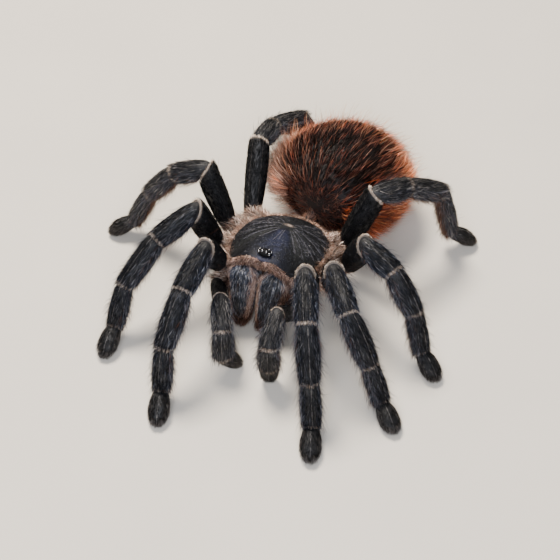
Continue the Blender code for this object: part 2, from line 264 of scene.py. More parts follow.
def limb_surface(path, frames, index, girth, t, angle):
    """Points and outward normals of one tube at shares t along it and at angles round it (dorsal 90).

    point = start + t * (end - start) + w(t) cos(a) across + d(t) sin(a) dorsal, slid along the tube so
    that t = 0 and t = 1 fall on the joints' halving planes. The half width w and the half depth d change
    evenly, swell as sin(pi t), pinch in near joints and are less by the coat's depth.
    """
    start, end = path[index], path[index + 1]
    along, across, dorsal = frames[index]
    last = index == len(path) - 2
    before = unit(frames[index - 1][0] + along) if index else along
    after = along if last else unit(along + frames[index + 1][0])
    t, angle = grids(t, angle)
    length = np.linalg.norm(end - start)
    from_start, from_end = t * length / PINCH_REACH, (1 - t) * length / PINCH_REACH
    narrow = (along @ before) ** (JOINT_ROUNDING * np.exp(-from_start)) - PINCH * bell(from_start)
    if last:
        in_tip = np.clip(t - TIP_START, 0, 1) / (1 - TIP_START)
        narrow = narrow * np.sqrt(np.clip(1 - in_tip**TIP_POWER, 0.0004, 1))
    else:
        narrow = narrow * (along @ after) ** (JOINT_ROUNDING * np.exp(-from_end)) - PINCH * bell(from_end)
    (w0, d0), (w1, d1), swell = girth
    bulge = swell * np.sin(math.pi * t) - LIMB_COAT
    half_width = (w0 + (w1 - w0) * t + bulge) * narrow
    half_depth = (d0 + (d1 - d0) * t + bulge) * narrow
    cos, sin = np.cos(angle), np.sin(angle)
    out = (cos * half_width)[..., None] * across + (sin * half_depth)[..., None] * dorsal
    slide = -(out @ before) / (along @ before) * (1 - t) ** 2 - (out @ after) / (along @ after) * t**2
    points = start + t[..., None] * (end - start) + out + slide[..., None] * along
    points[..., 2] = np.maximum(points[..., 2], SKIN_CLEARANCE)
    return points, unit((cos / half_width)[..., None] * across + (sin / half_depth)[..., None] * dorsal)


limbs = {}
for (side, number), (headings, pitches, ankle) in LEG_POSE.items():
    lengths, heights = LEG_LENGTHS[number], (ankle, TOE_HEIGHT)
    path = limb_path(side, COXA_ROOTS[number], HIPS[number], lengths, headings, pitches, heights)
    limbs[f"leg_{side}_{number}"] = (path, limb_frames(path), LEG_PARTS, LEG_GIRTH)
for side, (headings, pitches) in PALP_POSE.items():
    path = limb_path(side, PALP_ROOT, PALP_HIP, PALP_LENGTHS, headings, pitches, (PALP_TOE_HEIGHT,))
    limbs[f"palp_{side}"] = (path, limb_frames(path), PALP_PARTS, PALP_GIRTH)


# ---------- the body's shape
# The domed shield over the front body, the jaws that hang from under its front edge, the underside, the
# narrow waist, the abdomen and its two spinnerets. Each is a function of two parameters.

SHIELD_HALF_WIDTH, SHIELD_HALF_LENGTH, SHIELD_PEAK = 11.2, 12.2, 4.5
PLAN_POWER, SQUARER_FRONT, ROUNDER_REAR = 2.35, 0.75, 0.25  # of the outline's superellipse
CORNER_BEARING, CORNER_SPREAD, CORNER_REACH = 42, 14, 0.8  # the front corners stand forward
EDGE_THICKNESS, RIM_HEIGHT = 0.8, 14.4
FRONT_LIFT, LIFT_SPREAD = 2.3, 26  # the rim rises over the jaws
CORNER_DROP, DROP_BEARING = 1.5, 46  # and drops at the corners
DOME_POWER, FULLER_FRONT = 2.3, 4.0
PITCH = math.radians(13)
FOVEA, FOVEA_DEPTH, FOVEA_HALF = (0.0, 3.2), 0.5, (1.5, 0.45)
# Each groove's bearing from the fovea, its depth and its half width.
GROOVES = {31: (0.34, 1.0), 60: (0.16, 0.8), 88: (0.16, 0.8), 117: (0.14, 0.7), 148: (0.12, 0.7)}
CHELICERA_ROOT, CHELICERA_TIP = (4.2, -11.0, 17.0), (2.9, -16.6, 3.0)
CHELICERA_PLACES = (-0.13, -0.07, 0.02, 0.16, 0.38, 0.62, 0.82, 0.94, 1.0)
CHELICERA_HALF_WIDTHS = (1.7, 2.8, 3.7, 4.1, 3.7, 3.1, 2.5, 1.9, 1.2)
CHELICERA_HALF_DEPTHS = (1.4, 2.4, 3.2, 3.6, 3.5, 3.1, 2.5, 1.9, 1.2)
JAW_COAT, JAW_SQUARENESS = 0.3, 0.8
JAW_SHOULDER, JAW_ROUNDING = 0.14, 0.15  # the root end rounds off before this share, over this one
JAW_GAP = 0.15  # half the gap between the two
ABDOMEN_CENTRE = (3.7, 28.5, 14.6)
ABDOMEN_HALF_WIDTH, ABDOMEN_HALF_HEIGHT = 18.5, 14.0
ABDOMEN_FRONT, ABDOMEN_REAR = 15.1, 19.4
ABDOMEN_BLUNTNESS = 0.56  # of its front end, where 1 is an ellipsoid
ABDOMEN_TURN = math.radians(-10)
ABDOMEN_COAT = 2.3
PEDICEL = (((0.0, 10.0, 8.6), 1.2), ((1.4, 18.0, 12.4), 1.2))  # the waist: centre and radius at each end
BASE_LEVELS = ((-0.3, 9.2, 10.6), (-2.6, 9.0, 10.4), (-5.4, 7.4, 8.8), (-7.4, 4.8, 6.4))
BASE_COAT = 0.4


def ramp(value, start, width):
    """0 at the start, rising evenly to 1 over the width. A negative width rises the other way."""
    return np.clip((value - start) / width, 0, 1)


def on_shield(x, y, z):
    """Points of the shield's pitched frame, whose origin is the middle of the rim plane."""
    ahead = y * math.cos(PITCH) + z * math.sin(PITCH)
    up = RIM_HEIGHT + z * math.cos(PITCH) - y * math.sin(PITCH)
    return np.stack(np.broadcast_arrays(x, ahead, up), axis=-1)


def shield_direction(x, y, z):
    """A direction in the shield's pitched frame."""
    return on_shield(x, y, z) - on_shield(0, 0, 0.0)


def off_front(angle):
    """Degrees from straight ahead, on either side."""
    return np.degrees(np.abs((angle + math.pi) % (2 * math.pi) - math.pi))


def shield_plan(share, angle):
    """Places x, y on the shield at an angle from straight ahead: a superellipse scaled by share.

    It is squarer in front, where its corners stand forward a little.
    """
    cos, sin = np.cos(angle), np.sin(angle)
    power = PLAN_POWER + np.where(cos > 0, SQUARER_FRONT, ROUNDER_REAR) * cos
    across, lengthwise = np.abs(sin) / SHIELD_HALF_WIDTH, np.abs(cos) / SHIELD_HALF_LENGTH
    reach = share * (across**power + lengthwise**power) ** (-1 / power)
    corner = CORNER_REACH * share * bell(off_front(angle), CORNER_BEARING, CORNER_SPREAD)
    return reach * sin, -reach * cos - corner


def shield_rim(angle):
    """How far the rim's underside stands above the rim plane: high over the jaws, low at the corners."""
    off = off_front(angle)
    lifted = FRONT_LIFT * np.exp(-((off / LIFT_SPREAD) ** 4))
    return lifted - CORNER_DROP * bell(off, DROP_BEARING, CORNER_SPREAD)


def from_fovea(x, y):
    """How far a place is from the fovea, and its bearing: degrees from straight ahead, + on the left."""
    return np.hypot(x - FOVEA[0], y - FOVEA[1]), np.degrees(np.arctan2(x - FOVEA[0], FOVEA[1] - y))


def shield_relief(x, y):
    """The fovea's pit, and grooves that fan from it: depth * bell(distance) along each bearing."""
    far, bearing = from_fovea(x, y)
    wide, long = FOVEA_HALF
    relief = -FOVEA_DEPTH * np.exp(-(((x - FOVEA[0]) / wide) ** 2) - ((y - FOVEA[1]) / long) ** 2)
    for degrees, (depth, width) in GROOVES.items():
        off = far * np.sin(np.radians(np.clip(np.abs(bearing) - degrees, -80, 80)))
        fade = ramp(far, 0.6, 2.0) * ramp(far, 11.5, -4.0)
        relief = relief - depth * fade * bell(off, 0, width)
    return relief


def with_normals(shape, along, angle, facing):
    """A shape's points, and its normals by small steps along and round it, faced outwards by a sign."""
    along, angle = grids(along, angle)
    points = shape(along, angle)
    on, beside = shape(along + 0.004, angle) - points, shape(along, angle + 0.01) - points
    return points, unit(facing * np.cross(on, beside))


def shield_height(share, angle):
    """The shield's top: a dome that stays high towards the front.

    height = edge + (peak - edge) * (1 - share ** power) + relief, and the power grows to the front.
    """
    front = np.clip(np.cos(angle), 0, 1)
    x, y = shield_plan(share, angle)
    edge = shield_rim(angle) + EDGE_THICKNESS
    dome = (SHIELD_PEAK - edge) * (1 - share ** (DOME_POWER + FULLER_FRONT * front**4))
    return on_shield(x, y, edge + dome + shield_relief(x, y) * ramp(share, 1, -0.1))


def shield_surface(share, angle):
    """Points and normals of the shield's top."""
    return with_normals(shield_height, share, angle, 1)


def chelicera_surface(side, t, angle):
    """Points and normals of a jaw at shares t from root to tip, with angle 90 at its front.

    point = root + t * (tip - root) + w(t) cos(a) across + d(t) sin(a) forward, a little squared, and
    kept off the midline by half the gap.
    """
    mirror = np.array((SIDES[side], 1, 1))
    root, tip = np.array(CHELICERA_ROOT) * mirror, np.array(CHELICERA_TIP) * mirror
    along = unit(tip - root)
    across = unit(np.cross(along, (0, 1, 0)))
    forward = np.cross(along, across)

    def shape(t, angle):
        """The jaw's points."""
        round_top = np.sqrt(np.clip(1 - ((JAW_SHOULDER - t).clip(0) / JAW_ROUNDING) ** 2, 0.01, 1))
        half_width = (np.interp(t, CHELICERA_PLACES, CHELICERA_HALF_WIDTHS) - JAW_COAT) * round_top
        half_depth = (np.interp(t, CHELICERA_PLACES, CHELICERA_HALF_DEPTHS) - JAW_COAT) * round_top
        x, y = (np.sign(c) * np.abs(c) ** JAW_SQUARENESS for c in (np.cos(angle), np.sin(angle)))
        out = (x * half_width)[..., None] * across + (y * half_depth)[..., None] * forward
        points = root + t[..., None] * (tip - root) + out
        points[..., 0] = SIDES[side] * np.maximum(points[..., 0] * SIDES[side], JAW_GAP + JAW_COAT * 0.4)
        return points

    return with_normals(shape, t, angle, -1)


def abdomen_surface(polar, angle):
    """Points and normals of the egg: polar 0 at the waist and pi at the rear, angle 90 on top.

    point = centre + (w s cos(a), -l cos(p), h s sin(a)), turned, where s = sin(p) ** bluntness.
    """
    polar, angle = grids(polar, angle)
    in_front = polar < math.pi / 2
    reach = np.where(in_front, ABDOMEN_FRONT, ABDOMEN_REAR) - ABDOMEN_COAT
    share = np.sin(polar) ** np.where(in_front, ABDOMEN_BLUNTNESS, 1.0)
    half_width, half_height = ABDOMEN_HALF_WIDTH - ABDOMEN_COAT, ABDOMEN_HALF_HEIGHT - ABDOMEN_COAT
    x, z = half_width * share * np.cos(angle), half_height * share * np.sin(angle)
    y = -reach * np.cos(polar)
    normals = np.stack([x / half_width**2, y / reach**2, z / half_height**2], axis=-1)
    cos_turn, sin_turn = math.cos(ABDOMEN_TURN), math.sin(ABDOMEN_TURN)
    spin = np.array([[cos_turn, sin_turn, 0], [-sin_turn, cos_turn, 0], [0, 0, 1]])
    return np.stack([x, y, z], axis=-1) @ spin + ABDOMEN_CENTRE, unit(normals @ spin)


def base_surface(level, angle):
    """Points and normals of the underside: level 0 under the rim to 1 at the sternum's edge.

    Each level is an ellipse, its height and half axes read off evenly between the named levels.
    """
    level, angle = grids(level, angle)
    marks = np.linspace(0, 1, len(BASE_LEVELS))
    z, half_width, half_length = (np.interp(level, marks, column) for column in np.array(BASE_LEVELS).T)
    x, y = (half_width - BASE_COAT) * np.sin(angle), -(half_length - BASE_COAT) * np.cos(angle)
    slope = shield_direction(x / half_width, y / half_length, -1.1 * level - 0.2)
    return on_shield(x, y, z + BASE_COAT * level), unit(slope)


def tube_surface(stations, t, angle):
    """Points and normals of a round tube through stations of centre and radius, shares t along it."""
    marks = np.linspace(0, 1, len(stations))
    t, angle = grids(t, angle)
    centres = np.stack([np.interp(t, marks, [s[0][k] for s in stations]) for k in range(3)], axis=-1)
    radius = np.interp(t, marks, [s[1] for s in stations])
    along = unit(np.array(stations[-1][0]) - np.array(stations[0][0]))
    across = unit(np.cross(along, (0, 0, 1)))
    normals = np.cos(angle)[..., None] * across + np.sin(angle)[..., None] * np.cross(across, along)
    return centres + radius[..., None] * normals, normals


spinnerets = {}
for side, sign in SIDES.items():
    start = np.array([5.6 + 1.2 * sign, 42.0, 7.4])
    reach = np.array([0.7 * sign, 7.4, 0.5])
    sizes = ((0, 0.7), (0.45, 0.68), (0.7, 0.6), (0.9, 0.42), (0.97, 0.1))
    spinnerets[side] = [(start + reach * share, radius) for share, radius in sizes]


# ---------- the skin
# One dark skin of cuticle over all the flesh: limbs, jaws, underside, waist, abdomen and spinnerets. It
# is paler in a narrow ring at the far end of a limb's tubes, and brown under the abdomen's coat.

SKIN_BLACK, SKIN_RING = "#0b0b0e", "#8d8176"
SKIN_UNDERSIDE, SKIN_ABDOMEN = "#241a16", "#150c09"
RING_STRENGTH = {"femur": 1.0, "patella": 0.9, "tibia": 0.5, "metatarsus": 0.2}
RING_FULL, RING_FADE = 1.6, 0.36  # the ring fades over this length, and is full for 0.6 of it
SKIN_AROUND = 24
# A tube's rows of points: millimetres after its start and before its end, with six even rows between
# that keep off both ends. The tip of a limb has closer rows, at shares of its last tube.
AFTER_START, BEFORE_END = np.array([0.0, 0.4, 0.8]), np.array([0.9, 0.6, 0.3, 0.0])
EVEN_ROWS, OFF_ENDS = 6, 1.5
TIP_ROWS = 1 - np.array([0.16, 0.08, 0.03, 0.008, 0.0])
JAW_ROWS = np.array(
    [-0.009, 0.0, 0.02, 0.05, 0.09, 0.15, 0.22, 0.32, 0.44, 0.56, 0.68, 0.78, 0.86, 0.92, 0.97, 1.0]
)


def full_turn(count):
    """Even angles all the way round."""
    return np.arange(count) * 2 * math.pi / count


def closed_grid(points, tone):
    """A surface's rows of points, closed round each row and with a flat cap at both ends."""
    rows, columns = points.shape[:2]
    row, column = np.meshgrid(np.arange(rows - 1), np.arange(columns), indexing="ij")
    next_column = (column + 1) % columns
    quads = np.stack([row * columns + column, row * columns + next_column], axis=-1)
    quads = np.concatenate([quads, quads[..., ::-1] + columns], axis=-1).reshape(-1, 4)
    caps = [list(range(columns))[::-1], list(range((rows - 1) * columns, rows * columns))]
    tone = np.broadcast_to(tone, points.shape).reshape(-1, 3)
    return points.reshape(-1, 3), quads.tolist() + caps, tone


def put_on_body(name, mesh, tone, material):
    """The mesh as a piece that rides on the body, with its colours as the attribute tone."""
    colours = mesh.attributes.new("tone", "FLOAT_COLOR", "POINT")
    colours.data.foreach_set("color", np.column_stack([tone, np.ones(len(tone))]).ravel())
    mesh.materials.append(material)
    made = bpy.data.objects.new(name, mesh)
    bpy.context.scene.collection.objects.link(made)
    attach(made, "root")
    return made


def new_object(name, points, faces, tone, material, slot):
    """One smooth piece from points in millimetres, with its faces turned outwards."""
    mesh = bpy.data.meshes.new(name)
    mesh.from_pydata(((points + PLACE) * MM).tolist(), [], faces)
    facing_out = bmesh.new()
    facing_out.from_mesh(mesh)
    bmesh.ops.recalc_face_normals(facing_out, faces=facing_out.faces)
    facing_out.to_mesh(mesh)
    facing_out.free()
    mesh.shade_smooth()
    mesh.set_sharp_from_angle(angle=math.radians(60))
    return put_on_body(name, mesh, tone, material)


def join_grids(parts):
    """Several closed grids as one set of points, faces and colours."""
    starts = np.cumsum([0] + [len(points) for points, _, _ in parts])
    faces = [[i + start for i in face] for (_, mine, _), start in zip(parts, starts) for face in mine]
    return np.concatenate([p[0] for p in parts]), faces, np.concatenate([p[2] for p in parts])


def mixed(share, first, second):
    """Colours, from the second at share 0 to the first at share 1."""
    return share[..., None] * first + (1 - share)[..., None] * second


def limb_skin(path, frames, parts, girths):
    """A limb's tubes as one continuous grid from its coxa to its tip, pale at the ringed joints."""
    rows, tones = [], []
    for index, part in enumerate(parts):
        length = np.linalg.norm(path[index + 1] - path[index])
        even = np.linspace(OFF_ENDS / length, 1 - OFF_ENDS / length, EVEN_ROWS)
        end = TIP_ROWS if index == len(parts) - 1 else 1 - BEFORE_END / length
        t = np.unique(np.concatenate([AFTER_START / length, even, end]))
        points, _ = limb_surface(path, frames, index, girths[part], t[:, None], full_turn(SKIN_AROUND))
        ring = RING_STRENGTH.get(part, 0.0) * np.clip(RING_FULL - (1 - t) * length / RING_FADE, 0, 1)
        rows.append(points)
        tones.append(mixed(ring, linear(SKIN_RING), linear(SKIN_BLACK)))
    return closed_grid(np.concatenate(rows), np.concatenate(tones)[:, None, :])


def colour_from_tone(tree, shader, source, output):
    """Base colour: the attribute tone, made lighter or darker by a node's output."""
    tone = add_node(tree, "ShaderNodeAttribute", {"attribute_name": "tone"})
    links = {"Vector": (tone, "Color"), "Scale": (source, output)}
    feeds = {"Vector": (shader, "Base Color")}
    add_node(tree, "ShaderNodeVectorMath", {"operation": "SCALE"}, None, links, feeds)


# Cuticle: thin, dull and finely pitted where the hairs are rooted, about three pits to a millimetre.
cuticle, tree, shader = start_material("pitted_cuticle", Roughness=0.62)
pits = pattern(tree, "ShaderNodeTexVoronoi", Scale=3000.0)
patches = pattern(tree, "ShaderNodeTexNoise", Scale=700.0, Detail=3.0)
contrast, dents = {"To Min": 0.6, "To Max": 1.5}, {"Strength": 0.5, "Distance": 0.00015}
vary = add_node(tree, "ShaderNodeMapRange", None, contrast, {"Value": (patches, "Fac")})
colour_from_tone(tree, shader, vary, "Result")
height = {"Height": (pits, "Distance")}
add_node(tree, "ShaderNodeBump", None, dents, height, {"Normal": (shader, "Normal")})

around = full_turn(32)
surfaces = []
for side, sign in SIDES.items():
    surfaces.append((chelicera_surface(side, JAW_ROWS[:, None], around[::sign]), SKIN_BLACK))
    spinneret = tube_surface(spinnerets[side], np.linspace(0, 1, 12)[:, None], around[::2])
    surfaces.append((spinneret, SKIN_UNDERSIDE))
surfaces.append((base_surface(np.linspace(0, 1, 9)[:, None], around[::-1]), SKIN_UNDERSIDE))
surfaces.append((abdomen_surface(np.linspace(0.05, math.pi - 0.05, 40)[:, None], around), SKIN_ABDOMEN))
surfaces.append((tube_surface(PEDICEL, np.linspace(0, 1, 4)[:, None], around[::2]), SKIN_BLACK))

skin_grids = [limb_skin(*limb) for limb in limbs.values()]
skin_grids += [closed_grid(points, linear(colour)) for (points, _), colour in surfaces]
skin = new_object("skin", *join_grids(skin_grids), cuticle, "limb_coat")
flesh = [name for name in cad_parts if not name.startswith(("carapace", "eye_mound", "fang"))]
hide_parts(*flesh)


# ---------- the shield
# The carapace: one stiff plate of blue-black cuticle, domed, with a pit (the fovea) where the stomach's
# muscle holds on inside and grooves that fan out from it. Satin, with a painted bluish sheen on the head.

# The crest's blue is a painted sheen along the head's ridge; the wedge's sides keep its own blue-black.
SHIELD_SHEEN_BLUE, SHIELD_BLACK = "#181b2b", "#07080c"  # the head's wedge: its crest and its sides
SHIELD_GREY, SHIELD_PALE = "#151617", "#8d7a6c"  # the rest, and the fovea's pit
HEAD_HALF_BEARING, HEAD_FADE = 33, 12
CREST_PLACE, CREST_HALF = 0.4, 3.1

angle = full_turn(160)
share = np.concatenate([np.linspace(0.02, 0.9, 56), [0.93, 0.96, 0.98, 0.993, 1.0]])
top, _ = shield_surface(share[:, None], angle)
plan_x, plan_y = shield_plan(share[:, None], angle)
lift = shield_rim(angle)
# Under the edge the plate turns in, in rows at a share of the plan and so far above the rim.
UNDER_ROWS = ((1.0, 0.0), (0.96, 0.1), (0.8, 0.5), (0.3, 0.8))
under = [on_shield(*shield_plan(inner, angle), lift + rise) for inner, rise in UNDER_ROWS]
far, bearing = from_fovea(plan_x, plan_y)
head = ramp(np.abs(bearing), HEAD_HALF_BEARING, -HEAD_FADE) * ramp(far, 0, 3)
# Painted sheen: blue along the head's crest, fading to the wedge's black at its sides.
crest_sheen = bell(plan_x, CREST_PLACE, CREST_HALF) * ramp(far, 1, 3)
head_tone = mixed(crest_sheen, linear(SHIELD_SHEEN_BLUE), linear(SHIELD_BLACK))
pit = 0.6 * np.exp(-(((plan_x - FOVEA[0]) / 1.1) ** 2) - ((plan_y - FOVEA[1] - 0.35) / 0.3) ** 2)
top_tone = mixed(pit, linear(SHIELD_PALE), mixed(head, head_tone, linear(SHIELD_GREY)))
under_tone = np.broadcast_to(linear(SKIN_UNDERSIDE), (len(UNDER_ROWS), len(angle), 3))

# Waxy cuticle: satin, clouded in patches of a millimetre or two, with a very fine grain a fifth of a
# millimetre across.
wax = {"Specular_IOR_Level": 0.22, "Coat_Weight": 0.03, "Coat_Roughness": 0.45}
shell, tree, shader = start_material("waxy_cuticle", **wax)
grain = pattern(tree, "ShaderNodeTexNoise", Scale=5000.0, Detail=4.0)
cloud = pattern(tree, "ShaderNodeTexNoise", Scale=650.0, Detail=8.0, Roughness=0.7)
contrast = {"From Min": 0.34, "From Max": 0.66, "To Min": 0.25, "To Max": 2.3}
vary = add_node(tree, "ShaderNodeMapRange", None, contrast, {"Value": (cloud, "Fac")})
colour_from_tone(tree, shader, vary, "Result")
satin, uneven = {"To Min": 0.5, "To Max": 0.7}, {"Strength": 0.35, "Distance": 0.00008}
value, height = {"Value": (grain, "Fac")}, {"Height": (grain, "Fac")}
add_node(tree, "ShaderNodeMapRange", None, satin, value, {"Result": (shader, "Roughness")})
add_node(tree, "ShaderNodeBump", None, uneven, height, {"Normal": (shader, "Normal")})

plate_grid = closed_grid(np.concatenate([top, np.array(under)]), np.concatenate([top_tone, under_tone]))
plate = new_object("shield_plate", *plate_grid, shell, "shield")
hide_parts("carapace")


# ---------- the eyes
# Eight small lenses of clear hard cuticle over black, in two rows of four on one low dark mound. They
# are the glossiest thing on the spider, and stand half out of the mound.

EYE_BLACK, MOUND_BLACK = "#050507", "#050608"
EYE_MOUND, EYE_MOUND_HALF = (0.0, -10.35, 4.2), (1.8, 1.3, 0.95)
# Sideways place, place along the body, height over the mound's middle, and radius.
EYES = (
    (0.52, -0.6, 0.66, 0.44),
    (1.36, -0.66, 0.28, 0.44),
    (0.76, 0.46, 0.7, 0.3),
    (1.48, 0.3, 0.34, 0.36),
)


def ball(centre, halves):
    """An ellipsoid on the shield: centre + halves * (sin p cos a, sin p sin a, cos p)."""
    polar, angle = np.linspace(0.04, math.pi - 0.04, 16)[:, None], full_turn(24)
    out = grids(np.sin(polar) * np.cos(angle), np.sin(polar) * np.sin(angle), np.cos(polar))
    points = on_shield(*(c + h * o for c, h, o in zip(centre, halves, out)))
    return closed_grid(points, linear(EYE_BLACK))


# The lens is a clear hard coat over black, and the mound is dull cuticle with a grain of a sixth of a
# millimetre.
clear = {"Specular_IOR_Level": 1.0, "Coat_Weight": 1.0, "Coat_Roughness": 0.1, "Coat_IOR": 1.9}
black = (*linear(EYE_BLACK), 1.0)
lens, tree, shader = start_material("clear_black_lens", Base_Color=black, Roughness=0.12, **clear)
dull = {"Base_Color": (*linear(MOUND_BLACK), 1.0), "Roughness": 0.7, "Specular_IOR_Level": 0.15}
mound_dark, tree, shader = start_material("dull_black_mound", **dull)
height = {"Height": (pattern(tree, "ShaderNodeTexNoise", Scale=6000.0), "Fac")}
uneven = {"Strength": 0.5, "Distance": 0.0001}
add_node(tree, "ShaderNodeBump", None, uneven, height, {"Normal": (shader, "Normal")})

mound = new_object("eye_mound_skin", *ball(EYE_MOUND, EYE_MOUND_HALF), mound_dark, "eyes")
lenses = []
for across, along_body, high, radius in EYES:
    for sign in SIDES.values():
        lenses.append(ball(np.array(EYE_MOUND) + (sign * across, along_body, high), (radius,) * 3))
new_object("eye_lenses", *join_grids(lenses), lens, "eyes")
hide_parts("eye_mound")


# ---------- the fangs and the claws
# Hard black horn. A fang folds back under each jaw, and every leg ends in two tiny hooked claws. Both
# are cones carried along a quadratic curve.

HORN_BLACK, HORN_BROWN = "#070505", "#1d100c"
FANG_BEND, FANG_RADIUS, FANG_POINT = ((2.8, -16.0, 1.9), (2.8, -13.4, 0.35), (2.2, -10.8, 3.6)), 0.9, 0.05
CLAW_LENGTH, CLAW_RADIUS, CLAW_POINT, CLAW_TIP_HEIGHT = 1.0, 0.13, 0.02, 0.25


def horn_cone(bend, radius, tip_radius, rows=14, columns=12):
    """A cone along (1-t)^2 p0 + 2t(1-t) p1 + t^2 p2, its radius falling as (1 - t) ** 0.7."""
    p0, p1, p2 = (np.array(p, float) for p in bend)
    t = np.linspace(0, 1, rows)[:, None]
    centre = p0 * (1 - t) ** 2 + p1 * 2 * t * (1 - t) + p2 * t * t
    along = unit((p1 - p0) * (1 - t) + (p2 - p1) * t)
    across = unit(np.cross(along, unit(np.cross(p1 - p0, p2 - p1))))
    dorsal = np.cross(along, across)
    turn = full_turn(columns)[None, :, None]
    size = (radius * (1 - t) ** 0.7 + tip_radius * t)[:, None, :]
    points = centre[:, None] + size * (np.cos(turn) * across[:, None] + np.sin(turn) * dorsal[:, None])
    return closed_grid(points, linear(HORN_BLACK))


# Horn: hard and polished by wear, with faint brown patches about a millimetre across.
horn, tree, shader = start_material("black_horn", Roughness=0.22, Coat_Weight=0.3)
add_node(
    tree,
    "ShaderNodeMix",
    {"data_type": "RGBA"},
    {6: (*linear(HORN_BLACK), 1.0), 7: (*linear(HORN_BROWN), 1.0)},
    {"Factor": (pattern(tree, "ShaderNodeTexNoise", Scale=900.0, Detail=3.0), "Fac")},
    {2: (shader, "Base Color")},
)

for side, sign in SIDES.items():
    bend = [np.array(p) * (sign, 1, 1) for p in FANG_BEND]
    fang = new_object(f"fang_{side}_horn", *horn_cone(bend, FANG_RADIUS, FANG_POINT), horn, "horn")
    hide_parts(f"fang_{side}")

claws = []
for path, frames, _, _ in limbs.values():
    along, across, _ = frames[-1]
    level = unit(along * (1, 1, 0))
    for sign in (1, -1):
        root = path[-1] - 0.9 * along + 0.35 * sign * across + (0, 0, 0.35)
        mid = root + CLAW_LENGTH * 0.6 * (level + 0.25 * sign * across) + (0, 0, 0.15)
        end = root + CLAW_LENGTH * (level + 0.3 * sign * across)
        end[2] = CLAW_TIP_HEIGHT
        claws.append(horn_cone((root, mid, end), CLAW_RADIUS, CLAW_POINT, 8, 8))
new_object("claws", *join_grids(claws), horn, "horn")


# ---------- hair
# Every hair is a thin stiff bristle of cuticle, round and tapering to a point. It leaves the skin at a
# low angle in the lie of the coat and bends back towards it. A coat is many of them in one piece.

HAIR_SEED = 11
HAIR_CLEARANCE = 0.03  # how far a hair stays above the floor
ATLAS_PATCH = 0.003  # how much of the bake map's width one hair takes
STREAK_CELLS = (97, 89)
THREE_SIDES = np.radians([90, 210, 330])
rng = np.random.default_rng(HAIR_SEED)


def colours_of(shares, count):
    """Random colours, each a bit lighter or darker: shares maps a hex colour to how common it is."""
    table = np.array([linear(c) for c in shares])
    weights = np.array(list(shares.values()), float)
    picks = table[rng.choice(len(table), count, p=weights / weights.sum())]
    return picks * rng.uniform(0.75, 1.25, (count, 1))


def cells_of(places, counts):
    """The cell of a table that each place falls in: its whole part, which starts again past the last."""
    return tuple(np.floor(place).astype(int) % count for place, count in zip(places, counts))


def streaked(tone, around, along, depth):
    """Colours made darker or lighter in streaks that run with the hair.

    Each tone is multiplied by e ** (depth * n), with one random n, normal and centred on 0, for each
    cell of the whole parts of around and along.
    """
    cell = cells_of((around, along), STREAK_CELLS)
    return tone * np.exp(depth * rng.normal(0, 1, STREAK_CELLS)[cell])[:, None]


def hairs(roots, lie, size, tone, atlas, stray=12, bend=0.5, curl=0.0, rows=1):
    """One batch of varied hairs: their points, triangles, tones, reach and places on the bake map.

    roots is the points and the skin's normals there. size is the length in millimetres, the lift off the
    skin in degrees, and the half width. lie is levelled to the skin and turned sideways by a random
    stray, in degrees. curl is the sideways arc as a share of the length. atlas is each root's place on
    the unwrapped skin, from 0 to 1. Each hair is a closed spike of three sides, straight in one row or
    bent over more. At share s of its length it is at root + length * s * (cos(e) flat + sin(e) up) plus
    curl * s^2 sideways, where e = lift * (1 - bend * s), and its radius is width * (1 - s) ** 0.6.
    """
    (root, up), (length, lift, width) = roots, size
    count = len(root)
    flat = unit(lie - (lie * up).sum(axis=1, keepdims=True) * up)
    beside = np.cross(up, flat)
    off = np.radians(rng.normal(0, 1, count) * stray)[:, None]
    flat, beside = flat * np.cos(off) + beside * np.sin(off), beside * np.cos(off) - flat * np.sin(off)
    length = length * rng.uniform(0.72, 1.2, count)
    lift = np.radians(np.clip(lift * rng.normal(1, 0.28, count), 3, 85))
    width = width * rng.uniform(0.75, 1.2, count)
    curl = curl * rng.uniform(-1, 1, count)

    s = np.linspace(0, 1, rows + 1)[:, None]
    rise, run = lift * (1 - bend * s), length * s
    middle = root + (run * np.cos(rise))[..., None] * flat + (run * np.sin(rise))[..., None] * up
    middle = middle + (run * s * curl)[..., None] * beside
    radius = (width * (1 - s[:-1]) ** 0.6)[..., None]
    rings = [middle[:-1] + radius * (math.cos(a) * beside + math.sin(a) * up) for a in THREE_SIDES]
    body = np.stack(rings, axis=2).transpose(1, 0, 2, 3).reshape(count, rows * 3, 3)
    points = np.concatenate([body, middle[-1][:, None]], axis=1)
    points[..., 2] = np.maximum(points[..., 2], HAIR_CLEARANCE)
    one = [(0, 2, 1)]
    for row in range(rows - 1):
        for i in range(3):
            a, b = row * 3 + i, row * 3 + (i + 1) % 3
            one += [(a, b, b + 3), (a, b + 3, a + 3)]
    one += [(rows * 3 - 3 + i, rows * 3 - 3 + (i + 1) % 3, rows * 3) for i in range(3)]
    per_hair = rows * 3 + 1
    faces = (np.array(one)[None] + (np.arange(count) * per_hair)[:, None, None]).reshape(-1, 3)
    reach = np.append(np.repeat(s[:-1, 0], 3), 1.0)
    spot = np.stack([np.append(np.tile([0.0, 0.5, 1.0], rows), 0.5), reach], axis=-1) * ATLAS_PATCH
    places = (np.column_stack(atlas) * (1 - ATLAS_PATCH))[:, None, :] + spot[None]
    tone = np.repeat(tone, per_hair, axis=0)
    return points.reshape(-1, 3), faces, tone, np.tile(reach, count), places.reshape(-1, 2)


